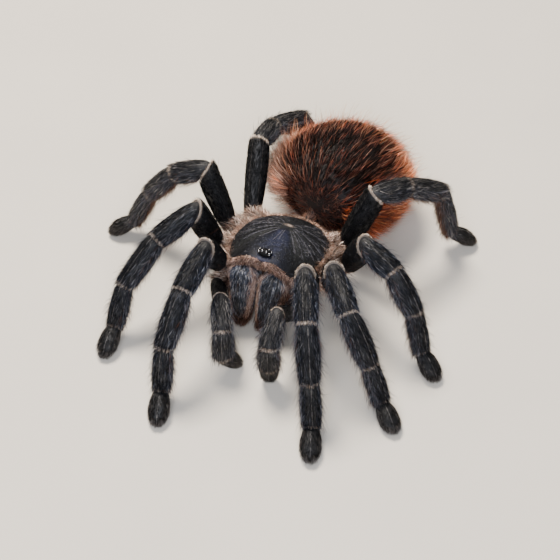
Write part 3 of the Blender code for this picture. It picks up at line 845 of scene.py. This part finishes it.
def coat(name, batches, material):
    """Batches of hairs as one piece with the attributes tone and reach and its bake map."""
    starts = np.cumsum([0] + [len(batch[0]) for batch in batches])
    points, tone, reach, places = (np.concatenate([batch[k] for batch in batches]) for k in (0, 2, 3, 4))
    faces = np.concatenate([batch[1] + start for batch, start in zip(batches, starts)])
    mesh = bpy.data.meshes.new(name)
    mesh.vertices.add(len(points))
    mesh.vertices.foreach_set("co", ((points + PLACE) * MM).ravel())
    mesh.loops.add(faces.size)
    mesh.loops.foreach_set("vertex_index", faces.ravel())
    mesh.polygons.add(len(faces))
    mesh.polygons.foreach_set("loop_start", np.arange(len(faces)) * 3)
    mesh.update(calc_edges=True)
    mesh.shade_smooth()
    mesh.attributes.new("reach", "FLOAT", "POINT").data.foreach_set("value", reach)
    mesh.uv_layers.new(name="OFBake").data.foreach_set("uv", places[faces.ravel()].ravel())
    put_on_body(name, mesh, tone, material)


def hair_material(name, roughness, gloss, root_shade, tip_shade):
    """Bristle cuticle: its own tone, times root_shade at the root up to tip_shade at the tip."""
    material, tree, shader = start_material(name, Roughness=roughness, Specular_IOR_Level=gloss)
    reach = add_node(tree, "ShaderNodeAttribute", {"attribute_name": "reach"})
    shades = {"To Min": root_shade, "To Max": tip_shade}
    fade = add_node(tree, "ShaderNodeMapRange", None, shades, {"Value": (reach, "Fac")})
    colour_from_tone(tree, shader, fade, "Result")
    return material


# ---------- the coat of the legs and palps
# Black to blue-grey bristles that lie towards the toes, a velvety black on the femur. Cream hairs ring
# the far end of each tube, fine pale lines run along its top, and long soft hairs stand out at its sides.

bristle = hair_material("leg_bristle", 0.42, 0.1, 0.45, 1.25)
BRISTLE_TONES = {"#08090e": 46, "#13161f": 27, "#343844": 15, "#676a74": 9, "#a2a1a4": 3}
GREY_TONES = {"#101115": 36, "#2b2c31": 26, "#55555a": 20, "#86827e": 13, "#b5ada6": 5}
COXA_TONES = {"#5c4b45": 30, "#8d7468": 30, "#3a3230": 25, "#b59a8c": 15}
FEMUR_TONES = {"#030304": 78, "#09090c": 17, "#1c1c21": 5}
TARSUS_TONES = {"#090808": 56, "#141312": 27, "#282523": 11, "#4c4845": 4, "#8b8580": 2}
CREAM_TONES = {"#d9c6b4": 46, "#a88e79": 32, "#f0e4d7": 22}
LINE_TONES = {"#9a9491": 50, "#c4bcb6": 32, "#6b6766": 18}
SIDE_TONES = {"#33333a": 36, "#565860": 28, "#85838a": 16, "#1d1d21": 14, "#6b4a3b": 6}
UNDER_TONES = {"#6d4532": 35, "#936b55": 25, "#4a3329": 28, "#6d6663": 12}
BRUSH_TONES = {"#46413e": 40, "#645e5a": 32, "#2a2726": 20, "#948d88": 8}
GREYER_LIMBS = ("leg_right_3", "leg_right_4", "leg_left_4", "palp_right", "palp_left")
# For each tube its hairs to a square millimetre, and their length, lift and half width.
LIMB_HAIR = {
    "coxa": (7.0, (1.5, 26, 0.05)),
    "femur": (11.0, (1.35, 18, 0.06)),
    "patella": (13.0, (1.9, 16, 0.054)),
    "tibia": (13.0, (2.0, 20, 0.054)),
    "metatarsus": (13.0, (1.9, 24, 0.052)),
    "tarsus": (17.0, (1.25, 25, 0.042)),
}
HAIRY_SPAN = {"coxa": (0.35, 1.0), "femur": (0.0, 0.96)}  # where hair starts and ends, if not all along
LONG_HAIR = {"femur": 4, "patella": 60, "tibia": 115, "metatarsus": 100}  # to a millimetre of tube
LONG_KINDS = ((0.74, 1.9, 1), (0.26, 3.1, 2))  # the share, length and rows of each kind
# Degrees round a tube: where below is, and how far from it the long hairs spread, end, and are brown.
BELOW, LOW_SPREAD, LOW_MOST, LOW_BROWN = 270, 72, 114, 48
RING_HAIR = {"femur": 1.0, "patella": 1.0, "tibia": 0.75, "metatarsus": 0.35}
RING_DENSITY, RING_WIDTH = 28, 0.55
# A foot's brush: its hairs, where they stand round and along the foot, their size and their stray.
FOOT_BRUSH = (
    (650, (0, 180), 26, (0.05, 0.97), (1.3, 38, 0.038), 12),
    (260, (48, 132), 12, (0.86, 1.0), (1.2, 16, 0.038), 8),
)
# Pale lines along the top: where they run, and ten times this many hairs to a millimetre.
LINES = {"femur": (60, 120), "patella": (72, 108), "tibia": (90,), "metatarsus": (90,), "tarsus": (90,)}
LINE_STRENGTH = {"femur": 0.8, "patella": 0.35, "tibia": 1.3, "metatarsus": 0.9, "tarsus": 0.6}
FEMUR_LINE_SHADE = 0.25


def limb_coat(name, path, frames, parts, girths):
    """Every batch of hairs of one limb, with its unwrapped skin as the atlas: along by around."""
    batches = []
    total = sum(np.linalg.norm(b - a) for a, b in zip(path, path[1:]))
    before = 0.0
    for index, part in enumerate(parts):
        length = np.linalg.norm(path[index + 1] - path[index])
        girth = girths[part]

        def grow(t, degrees, size, tone, **more):
            """Hairs at shares t along this tube and degrees round it."""
            roots = limb_surface(path, frames, index, girth, t, np.radians(degrees))
            atlas = ((before + t * length) / total, (degrees % 360) / 360)
            batches.append(hairs(roots, frames[index][0], size, tone, atlas, **more))

        density, size = LIMB_HAIR[part]
        around = 2 * math.pi * (np.mean(girth[:2]) - LIMB_COAT)
        count = int(density * around * length)
        middle_tones = GREY_TONES if name in GREYER_LIMBS else BRISTLE_TONES
        tones = {"coxa": COXA_TONES, "femur": FEMUR_TONES, "tarsus": TARSUS_TONES}.get(part, middle_tones)
        degrees, t = rng.uniform(0, 360, count), rng.uniform(*HAIRY_SPAN.get(part, (0.0, 1.0)), count)
        tone = streaked(colours_of(tones, count), degrees / 6, t * length / 6, 0.35)
        # The coat is darkened to 0.6 along the top and brightened to 1.5 at the sides and below: painted
        # rim light, where light catches the hair tips.
        grow(t, degrees, size, tone * (0.6 + 0.9 * ramp(np.abs(degrees - 90), 15, 65))[:, None])
        if part in LONG_HAIR:
            for share, hair_length, rows in LONG_KINDS:
                count = int(share * LONG_HAIR[part] * length)
                degrees = BELOW + np.clip(rng.normal(0, 1, count) * LOW_SPREAD, -LOW_MOST, LOW_MOST)
                beside = np.abs(degrees - BELOW)[:, None] > LOW_BROWN
                tone = np.where(beside, colours_of(SIDE_TONES, count), colours_of(UNDER_TONES, count))
                t = rng.uniform(0.03, 1, count)
                grow(t, degrees, (hair_length, 42, 0.042), tone, stray=24, bend=0.4, curl=0.2, rows=rows)
        if part in RING_HAIR:
            count = int(RING_HAIR[part] * around * RING_DENSITY)
            degrees = rng.uniform(0, 360, count)
            t = 1 - rng.uniform(0.0, RING_WIDTH, count) / length
            grow(t, degrees, (0.75, 42, 0.052), colours_of(CREAM_TONES, count), stray=14)
        if part == "tarsus":
            for count, sides, spread, span, size, stray in FOOT_BRUSH:
                degrees = rng.choice(sides, count) + rng.normal(0, spread, count)
                t = rng.uniform(*span, count)
                grow(t, degrees, size, colours_of(BRUSH_TONES, count), stray=stray)
        for line in LINES.get(part, ()):
            count = int(LINE_STRENGTH[part] * length * 10)
            degrees = line + rng.normal(0, 0.8, count)
            tone = colours_of(LINE_TONES, count) * (FEMUR_LINE_SHADE if part == "femur" else 1.0)
            grow(rng.uniform(0.02, 0.98, count), degrees, (0.7, 24, 0.034), tone, stray=3)
        before += length
    return batches


for name, limb in limbs.items():
    coat(f"coat_{name}", limb_coat(name, *limb), bristle)


# ---------- the coat of the jaws
# Blue-black bristles that run down each jaw, streaked with grey. The outer edge and the edges of the gap
# are pinkish tan, and a rusty beard hangs over the fangs at the lower end.

JAW_TONES = {"#171a25": 36, "#3d4352": 28, "#6c707a": 20, "#a3a3a8": 11, "#d6d2d0": 5}
JAW_EDGE_TONES = {"#b39384": 36, "#7f6051": 26, "#dcc3b6": 26, "#3c2a22": 12}
BEARD_TONES = {"#2e1b14": 42, "#5c3a2b": 24, "#1a100c": 26, "#967362": 8}
JAW_ATLAS = {"left": 0.0, "right": 0.5}
ABOVE_JAW = (0.0, 2.5, 2.5)  # from the jaw's root to where its hair streams from

batches = []
for side, sign in SIDES.items():

    def grow_on_jaw(t, degrees, size, tone, **more):
        """Hairs of this jaw at shares t down it and degrees round it, where 90 faces the front."""
        roots = chelicera_surface(side, t, np.radians(degrees))
        lie = roots[0] - (np.array(CHELICERA_ROOT) + ABOVE_JAW) * (sign, 1, 1)
        atlas = (0.1 + 0.8 * t, JAW_ATLAS[side] + (degrees % 360) / 720)
        batches.append(hairs(roots, lie, size, tone, atlas, **more))

    # The main coat, with painted light at the top and painted shade that darkens it towards the lower
    # end. One root in seven lies on the rounded shoulder.
    count = 8500
    top = JAW_SHOULDER - JAW_ROUNDING * np.sqrt(1 - rng.uniform(0.0, 1, count))
    t = np.where(rng.uniform(0, 1, count) < 0.14, top, rng.uniform(0.05, 0.98, count))
    degrees = rng.uniform(0, 360, count)
    tone = streaked(colours_of(JAW_TONES, count), degrees / 5, t * 2 + 1, 0.35)
    # Painted light and shade: the tone runs from 1.1 times at the root to 0.4 times at the tip.
    grow_on_jaw(t, degrees, (1.15, 8, 0.044), tone * (1.1 - 0.7 * t[:, None] ** 2), stray=5)
    # The tan edges, beside the gap and on the outer side.
    inner, outer = (180, 0) if side == "left" else (0, 180)
    for centre in (inner - 30 * sign, outer + 28 * sign):
        count = 1000
        degrees = centre + rng.normal(0, 10, count)
        t = rng.uniform(0.0, 0.85, count)
        grow_on_jaw(t, degrees, (1.3, 30, 0.044), colours_of(JAW_EDGE_TONES, count), stray=20)
    # The beard round the lower end, then longer hairs of its colours down the outer side.
    count = 1200
    t = 1 - np.abs(rng.normal(0, 0.13, count)).clip(0, 0.6)
    degrees = rng.uniform(0, 360, count)
    grow_on_jaw(t, degrees, (2.2, 38, 0.038), colours_of(BEARD_TONES, count), stray=26, curl=0.2, rows=2)
    count = 650
    t, degrees = rng.uniform(0.15, 0.95, count), outer + rng.normal(0, 35, count)
    grow_on_jaw(t, degrees, (2.4, 48, 0.038), colours_of(BEARD_TONES, count), stray=26, curl=0.2, rows=2)
coat("coat_jaws", batches, bristle)


# ---------- the coat of the shield
# Short flat hair, bluish black and thickest towards the rim, sparse on the waxy head, with fine pale rows
# on the ridges. A pinkish fringe stands out round the rim's sides and back, and along its front lies a
# thick pinkish-tan velvet band in two arcs that meet over the gap between the jaws.

DOWN_TONES = {"#0c0d12": 42, "#1f2029": 26, "#3d3d42": 19, "#656367": 10, "#8f8b89": 3}
DUST_TONES = {"#6c6f7c": 50, "#9a9ca6": 22, "#3f414d": 28}
PALE_ROW_TONES = {"#6a686f": 50, "#8e8a91": 32, "#45444a": 18}
FRINGE_TONES = {"#b99682": 30, "#8a6753": 26, "#e0c4b3": 16, "#41302a": 28}
BAND_TONES = {"#7f6152": 34, "#a98c7c": 22, "#3c261d": 32, "#cfb5a6": 12}
BAND_SKIN = "#2f1d16"
# For each bearing from straight ahead of the fovea: where a pale row starts and ends, and its hairs.
RIDGES = {
    -128: (1.5, 9.0, 70), -92: (2.0, 9.5, 100), -60: (2.5, 10.5, 150), -43: (2.0, 11.5, 190),
    -30: (2.6, 8.5, 120), -3: (2.6, 8.0, 90), 4: (2.4, 7.0, 90), 34: (2.2, 10.5, 150),
    43: (2.2, 11.5, 150), 56: (2.0, 12.0, 170), 72: (2.0, 10.5, 110), 98: (2.0, 9.5, 100),
    130: (1.5, 9.0, 70),
}
# The band's two kinds of hair: how many, from what turn to what turn of its roll, and their size.
BAND_HAIR = ((7000, -0.9, 2.1, (0.85, 36, 0.045)), (2200, -0.8, 0.3, (1.3, 34, 0.045)))
BAND_HALF_ANGLE, BAND_RADIUS, BAND_ROWS = 37, 0.72, 40


def disc_atlas(x, y):
    """A root's place on the shield, flattened from above the rim."""
    return 0.5 + x / (2.3 * SHIELD_HALF_WIDTH), 0.5 + y / (2.5 * SHIELD_HALF_LENGTH)


def shield_hairs(share, angle, size, tone, stray):
    """Hairs on the shield's top that point away from the fovea."""
    x, y = shield_plan(share, angle)
    away = shield_direction(x - FOVEA[0], y - FOVEA[1] - 0.01, 0.0)
    return hairs(shield_surface(share, angle), away, size, tone, disc_atlas(x, y), stray=stray)


def pale_hairs(x, y, kept, most, tones, size, stray):
    """Hairs at places x, y of the shield that are kept and lie within a share of its plan."""
    angle = np.arctan2(x, -y)
    share = np.hypot(x, y) / np.hypot(*shield_plan(1.0, angle))
    inside = (share < most) & kept
    tone = colours_of(tones, len(x))[inside]
    return shield_hairs(share[inside], angle[inside], size, tone, stray)


# The down: dark and sparse on the head, and thinner in the middle than at the rim.
count = 19000
share, angle = np.sqrt(rng.uniform(0, 1, count)), rng.uniform(-math.pi, math.pi, count)
_, bearing = from_fovea(*shield_plan(share, angle))
off = np.abs(bearing)
kept = rng.uniform(0, 1, count) < np.clip((off - 30) / 22, 0.3, 1) * np.clip(0.45 + share**2, 0, 1)
share, angle, bearing, off = share[kept], angle[kept], bearing[kept], off[kept]
tone = streaked(colours_of(DOWN_TONES, len(share)), bearing / 5 * 1.4 + 60, 2.5 * share, 0.6)
tone = tone * (0.4 + 0.65 * ramp(off, 38, 20))[:, None]
batches = [shield_hairs(share, angle, (0.55, 13, 0.034), tone, 14)]

# A dust of tiny pale hairs on the head, thickest behind the eyes.
x, y = rng.normal(0.5, 2.8, 520), rng.normal(-6.0, 3.4, 520)
batches.append(pale_hairs(x, y, y < 1.5, 0.93, DUST_TONES, (0.35, 25, 0.036), 40))

# The pale rows, which fan out from the fovea.
for degrees, (near, far, count) in RIDGES.items():
    way = math.radians(degrees) + rng.normal(0, 0.012, count)
    distance = rng.uniform(near, far, count)
    x, y = FOVEA[0] + distance * np.sin(way), FOVEA[1] - distance * np.cos(way)
    batches.append(pale_hairs(x, y, True, 0.97, PALE_ROW_TONES, (0.65, 12, 0.032), 5))


def rim_outward(angle):
    """The rim's place in plan at an angle, and the direction straight out from it, level with the rim."""
    x, y = shield_plan(1.0, angle)
    outward = unit(np.stack([x / SHIELD_HALF_WIDTH, y / SHIELD_HALF_LENGTH], axis=-1))
    return x, y, outward[..., 0], outward[..., 1]


def rim_roll(angle, turn, out, up, radius):
    """Points of a roll carried round the rim, where turn 0 faces outwards and 90 up.

    point = rim + (out + radius * cos(turn)) outwards + (up + radius * sin(turn)) upwards.
    """
    x, y, out_x, out_y = rim_outward(angle)
    grow_out = out + radius * np.cos(turn)
    high = shield_rim(angle) + up + radius * np.sin(turn)
    return on_shield(x + grow_out * out_x, y + grow_out * out_y, high)


def rim_hairs(angle, turn, out, up, radius, heading, size, tone, **more):
    """Hairs on a roll carried round the rim, which lie at a heading counted as its turns are."""
    x, y, out_x, out_y = rim_outward(angle)
    normals, lie = (
        shield_direction(out_x * np.cos(a), out_y * np.cos(a), np.sin(a)) for a in (turn, heading)
    )
    roots = (rim_roll(angle, turn, out, up, radius), normals)
    return hairs(roots, lie, size, tone, disc_atlas(x * 1.06, y * 1.06), **more)


def band_course(angle):
    """How far out and up the band's middle lies: it dips at the midline and droops at its ends."""
    off = np.degrees(np.abs(angle))
    end = ramp(off, 30, 14)
    up = -0.15 - 0.6 * bell(off, 0, 4.0) + 0.2 * bell(off, 20, 12) - 1.1 * end**2
    return 0.1 - 0.4 * bell(off, 0, 4.0) - 0.3 * end**2, up


# The fringe, all round the rim but in front.
count = 5200
angle = rng.uniform(math.radians(34), math.radians(326), count)
turn = rng.uniform(0.2, 1.6, count)
tone = streaked(colours_of(FRINGE_TONES, count), np.degrees(angle) / 2.5, turn, 0.6)
heading, size = np.full(count, -0.2), (1.7, 38, 0.042)
batches.append(
    rim_hairs(angle, turn, -0.15, 0.4, 0.25, heading, size, tone, stray=45, curl=0.5, rows=2)
)

# The band, whose hairs lie round its roll.
for count, low, high, size in BAND_HAIR:
    angle = np.radians(rng.uniform(0.6, BAND_HALF_ANGLE, count)) * rng.choice((-1, 1), count)
    turn = rng.uniform(low, high, count)
    tone = streaked(colours_of(BAND_TONES, count), np.degrees(angle) * 1.2 + 60, turn * 1.2 + 3, 0.55)
    batches.append(
        rim_hairs(angle, turn, *band_course(angle), BAND_RADIUS, turn - math.pi / 2, size, tone, stray=26)
    )
coat("coat_shield", batches, bristle)

# The band's own roll of skin, thinner at its ends, so that nothing shows between its hairs.
rolls = []
for sign in SIDES.values():
    angle = np.radians(np.linspace(0.3, BAND_HALF_ANGLE + 1, BAND_ROWS))[:, None] * sign
    from_end = np.minimum(np.arange(BAND_ROWS), np.arange(BAND_ROWS - 1, -1, -1))[:, None]
    size = (BAND_RADIUS - 0.05) * np.clip(from_end / 3.0, 0.15, 1) ** 0.5
    points = rim_roll(angle, full_turn(16), *band_course(angle), size)
    rolls.append(closed_grid(points, linear(BAND_SKIN)))
new_object("shield_band", *join_grids(rolls), cuticle, "shield")


# ---------- the coat of the leg roots and underside
# Around the shield the short coxae carry long, soft, untidy hair, pinkish grey, and the underside is
# covered in short brown hair.

SHAG_TONES = {"#b89a88": 24, "#846553": 24, "#efdccf": 18, "#43322a": 20, "#1a1310": 14}
BROWN_TONES = {"#241a16": 40, "#3a2a23": 30, "#54402f": 20, "#7a604c": 10}
# The shag's length on a pair of legs, where the hindmost is shorter, and the numbers of hairs on a leg
# and on a palp.
SHAG_LENGTH, HIND_SHAG_LENGTH = 2.8, 2.2
SHAG_COUNTS, INNER_COUNTS = {"leg": 1100, "palp": 700}, {"leg": 420, "palp": 260}
BACKWARDS = np.array([0.0, 1.0, -0.2])

batches = []
for row, (name, (path, frames, _, girths)) in enumerate(limbs.items()):

    def grow_on_coxa(t, degrees, size, tone, **more):
        """Hairs of this limb's coxa at shares t along it and degrees round it."""
        roots = limb_surface(path, frames, 0, girths["coxa"], t, np.radians(degrees))
        atlas = ((row + 0.1 + 0.8 * (degrees % 360) / 360) / len(limbs), 0.05 + 0.4 * t)
        batches.append(hairs(roots, frames[0][0], size, tone, atlas, **more))

    # The shag on top and at the sides.
    kind = name.split("_")[0]
    count = SHAG_COUNTS[kind]
    t = rng.uniform(0.3, 1.05, count).clip(0, 1)
    degrees = 90 + rng.normal(0, 62, count)
    tone = streaked(colours_of(SHAG_TONES, count), (degrees + 200) / 9, t * 9, 0.7)
    size = (HIND_SHAG_LENGTH if name.endswith("4") else SHAG_LENGTH, 40, 0.048)
    grow_on_coxa(t, degrees, size, tone, stray=42, bend=0.3, curl=0.55, rows=2)
    # The coxae's inner ends, which meet the breastplate below.
    count = INNER_COUNTS[kind]
    t, degrees = rng.uniform(0.0, 0.6, count), rng.uniform(150, 390, count)
    tone = streaked(colours_of(BROWN_TONES, count), degrees / 12, t * 6, 0.4)
    grow_on_coxa(t, degrees, (1.3, 24, 0.05), tone, stray=18)

# The underside's wall, then its flat bottom.
count = 5200
degrees, level = rng.uniform(0, 360, count), rng.uniform(0, 1.0, count)
roots = base_surface(level, np.radians(degrees))
atlas = (0.05 + 0.9 * degrees / 360, 0.55 + 0.4 * level)
batches.append(hairs(roots, BACKWARDS, (1.1, 26, 0.05), colours_of(BROWN_TONES, count), atlas, stray=20))
count = 2600
spread, turn = np.sqrt(rng.uniform(0, 1, count)), rng.uniform(0, 2 * math.pi, count)
z, half_width, half_length = BASE_LEVELS[-1]
x, y = spread * np.sin(turn), -spread * np.cos(turn)
points = on_shield(x * half_width, y * half_length, z + BASE_COAT)
roots = (points, np.broadcast_to(shield_direction(0, 0, -1.0), points.shape))
atlas = (0.5 + 0.2 * x, 0.75 - 0.2 * y)
batches.append(hairs(roots, BACKWARDS, (1.0, 24, 0.05), colours_of(BROWN_TONES, count), atlas, stray=20))
coat("coat_front_body", batches, bristle)


# ---------- the coat of the abdomen
# A short brownish-black pile, and through it long rust-red hairs that stream back from the waist. They
# are sparse on the top and dense on the flanks and the rear, where they stand out and end pale.

PILE_TONES = {"#070403": 60, "#0f0807": 28, "#1f100c": 9, "#3a1e15": 3}
RUST_TONES = {"#9c4a33": 32, "#bd7152": 24, "#5f2515": 28, "#d39c82": 10, "#2c120b": 6}
ORANGE_TONES = {"#b04a1c": 34, "#cf6d38": 26, "#6f2a10": 26, "#dd9468": 14}
PALE_RUST_TONES = {"#dd8e5e": 36, "#c0652f": 28, "#f0bd95": 20, "#7a3518": 16}
FLANK_TONES = {"#6f2a10": 30, "#a8471c": 24, "#240d07": 34, "#d8895c": 12}
PINK_TONES = {"#a97a65": 30, "#c39a84": 18, "#6f4837": 28, "#b46d49": 14, "#3a2018": 10}
pile_hair = hair_material("rump_pile", 0.5, 0.06, 0.45, 1.3)
abdomen_hair = hair_material("rump_hair", 0.4, 0.4, 0.5, 1.3)
WAIST = np.array([1.0, 15.5, 10.5])  # where the coat's lie starts from
REAR_START, REAR_DROP = 32, 0.6  # from here back, the lie turns down
LOCKS = (90, 30)  # round the abdomen and from end to end
LOCK_LEAN, LOCK_SHADE = 0.11, 0.5
# The fringe between the abdomen's front flanks and the hind femurs, pinkish on the spider's right and
# rusty on its left: its middle's angle, its colours, its length and its hairs.
FLANK_FRINGE = ((math.pi, PINK_TONES, 5.6, 2200), (-0.25, FLANK_TONES, 4.6, 2400))


def abdomen_roots(count):
    """Even random roots on the abdomen: the polar angle by area, the other all round."""
    return np.arccos(rng.uniform(-0.995, 0.995, count)), rng.uniform(0, 2 * math.pi, count)


def abdomen_hairs(polar, angle, size, tone, lean=(0.0, 0.0, 0.0), **more):
    """Hairs that point away from the waist, over the top and the flanks, and down over the rear end."""
    roots = abdomen_surface(polar, angle)
    lie = unit(roots[0] - WAIST) + lean
    lie[:, 2] -= REAR_DROP * ramp(roots[0][:, 1], REAR_START, 9)
    return hairs(roots, lie, size, tone, ((angle / (2 * math.pi)) % 1.0, polar / math.pi), **more)


polar, angle = abdomen_roots(24000)
pile = abdomen_hairs(polar, angle, (2.2, 32, 0.066), colours_of(PILE_TONES, len(polar)))
coat("coat_abdomen_pile", [pile], pile_hair)

# The long hairs cling together in locks, one to each cell of the map, that share a lean and a shade.
lock_lean, lock_shade = rng.normal(0, LOCK_LEAN, (*LOCKS, 3)), rng.normal(0, LOCK_SHADE, (*LOCKS, 1))
for half in ("first", "second"):
    polar, angle = abdomen_roots(13500)
    points, normals = abdomen_surface(polar, angle)
    # dark is 1 on top and in front, where the long hairs are few and dark, and less towards the rear.
    on_top = np.clip(normals[:, 2] * 1.3 - 0.1, 0, 1) ** 1.3
    on_front = np.clip(-normals[:, 1] * 1.4, 0, 1)
    behind = ramp(points[:, 1], 29, 12)
    dark = np.clip(on_top * (1 - 0.35 * behind) + on_front, 0, 1)
    kept = rng.uniform(0, 1, len(polar)) < 0.97 - 0.88 * dark
    polar, angle, dark, behind, high = (a[kept] for a in (polar, angle, dark, behind, normals[:, 2]))
    # Low on the flanks some hairs are orange, at 0.6 of their colour as painted shade on the underside.
    # Where the coat isn't dark many are pale: partly their own paler colour, partly painted backlight, so
    # none are pale where the skin faces down.
    count = len(polar)
    luck = rng.uniform(0, 1, count)
    low = luck < np.clip(0.25 - 1.2 * high, 0, 0.8)
    # Painted backlight: pale hairs only where the skin's normal points no more than slightly downwards.
    pale = (luck > 1 - 0.85 * (1 - dark)) & (high > -0.15) & ~low
    tone = np.where(pale[:, None], colours_of(PALE_RUST_TONES, count), colours_of(RUST_TONES, count))
    # Painted shade: the low orange hairs at 0.6 of their colour.
    tone = np.where(low[:, None], 0.6 * colours_of(ORANGE_TONES, count), tone)
    # Darker where the coat is dark, and brighter towards the rear: partly the rear's own paler hair,
    # partly a painted sheen.
    tone = tone * (1.65 - 1.0 * dark + 0.5 * behind)[:, None]
    lock = cells_of((angle * LOCKS[0] / (2 * math.pi), polar * LOCKS[1] / math.pi), LOCKS)
    tone = tone * np.exp(lock_shade[lock])
    size = (3.8 + 1.4 * (1 - dark), 26 + 20 * (1 - dark), 0.048 - 0.008 * dark)
    batch = abdomen_hairs(polar, angle, size, tone, lock_lean[lock], stray=6, curl=0.06, bend=0.4, rows=2)
    # The longest stand out all round as a thin pale halo.
    far = rng.uniform(0, 1, count) < 0.24 * (1 - dark)
    tone = colours_of(PALE_RUST_TONES, int(far.sum()))
    looks = dict(stray=14, curl=0.1, bend=0.3, rows=2)
    halo = abdomen_hairs(polar[far], angle[far], (6.4, 64, 0.042), tone, **looks)
    coat(f"coat_abdomen_{half}_rust", [batch, halo], abdomen_hair)

# The spinnerets, the waist, the abdomen's front end and the fringes of its front flanks.
batches = []
tubes = [(stations, 900, (1.0, 22, 0.04), BROWN_TONES, 12) for stations in spinnerets.values()]
tubes.append((PEDICEL, 500, (2.0, 45, 0.04), PINK_TONES, 50))
for row, (stations, count, size, tones, stray) in enumerate(tubes):
    t, degrees = rng.uniform(0, 1, count), rng.uniform(0, 360, count)
    roots = tube_surface(stations, t, np.radians(degrees))
    lie = unit(np.array(stations[-1][0]) - stations[0][0])
    atlas = (0.05 + 0.9 * t, (row + degrees / 360) / 3)
    batches.append(hairs(roots, lie, size, colours_of(tones, count), atlas, stray=stray))
count = 700
polar, angle = rng.uniform(0.02, 0.42, count), rng.uniform(0, 2 * math.pi, count)
tone = colours_of(RUST_TONES, count) * 0.35
batches.append(abdomen_hairs(polar, angle, (2.2, 50, 0.05), tone, stray=40, curl=0.2, rows=2))
for middle, tones, length, count in FLANK_FRINGE:
    polar, angle = rng.uniform(0.3, 1.5, count), middle + rng.normal(0, 0.38, count)
    tone = streaked(colours_of(tones, count), angle * 16, polar * 4, 0.6)
    looks = dict(stray=20, curl=0.15, bend=0.3, rows=2)
    batches.append(abdomen_hairs(polar, angle, (length, 58, 0.044), tone, **looks))
coat("coat_waist_and_spinnerets", batches, abdomen_hair)
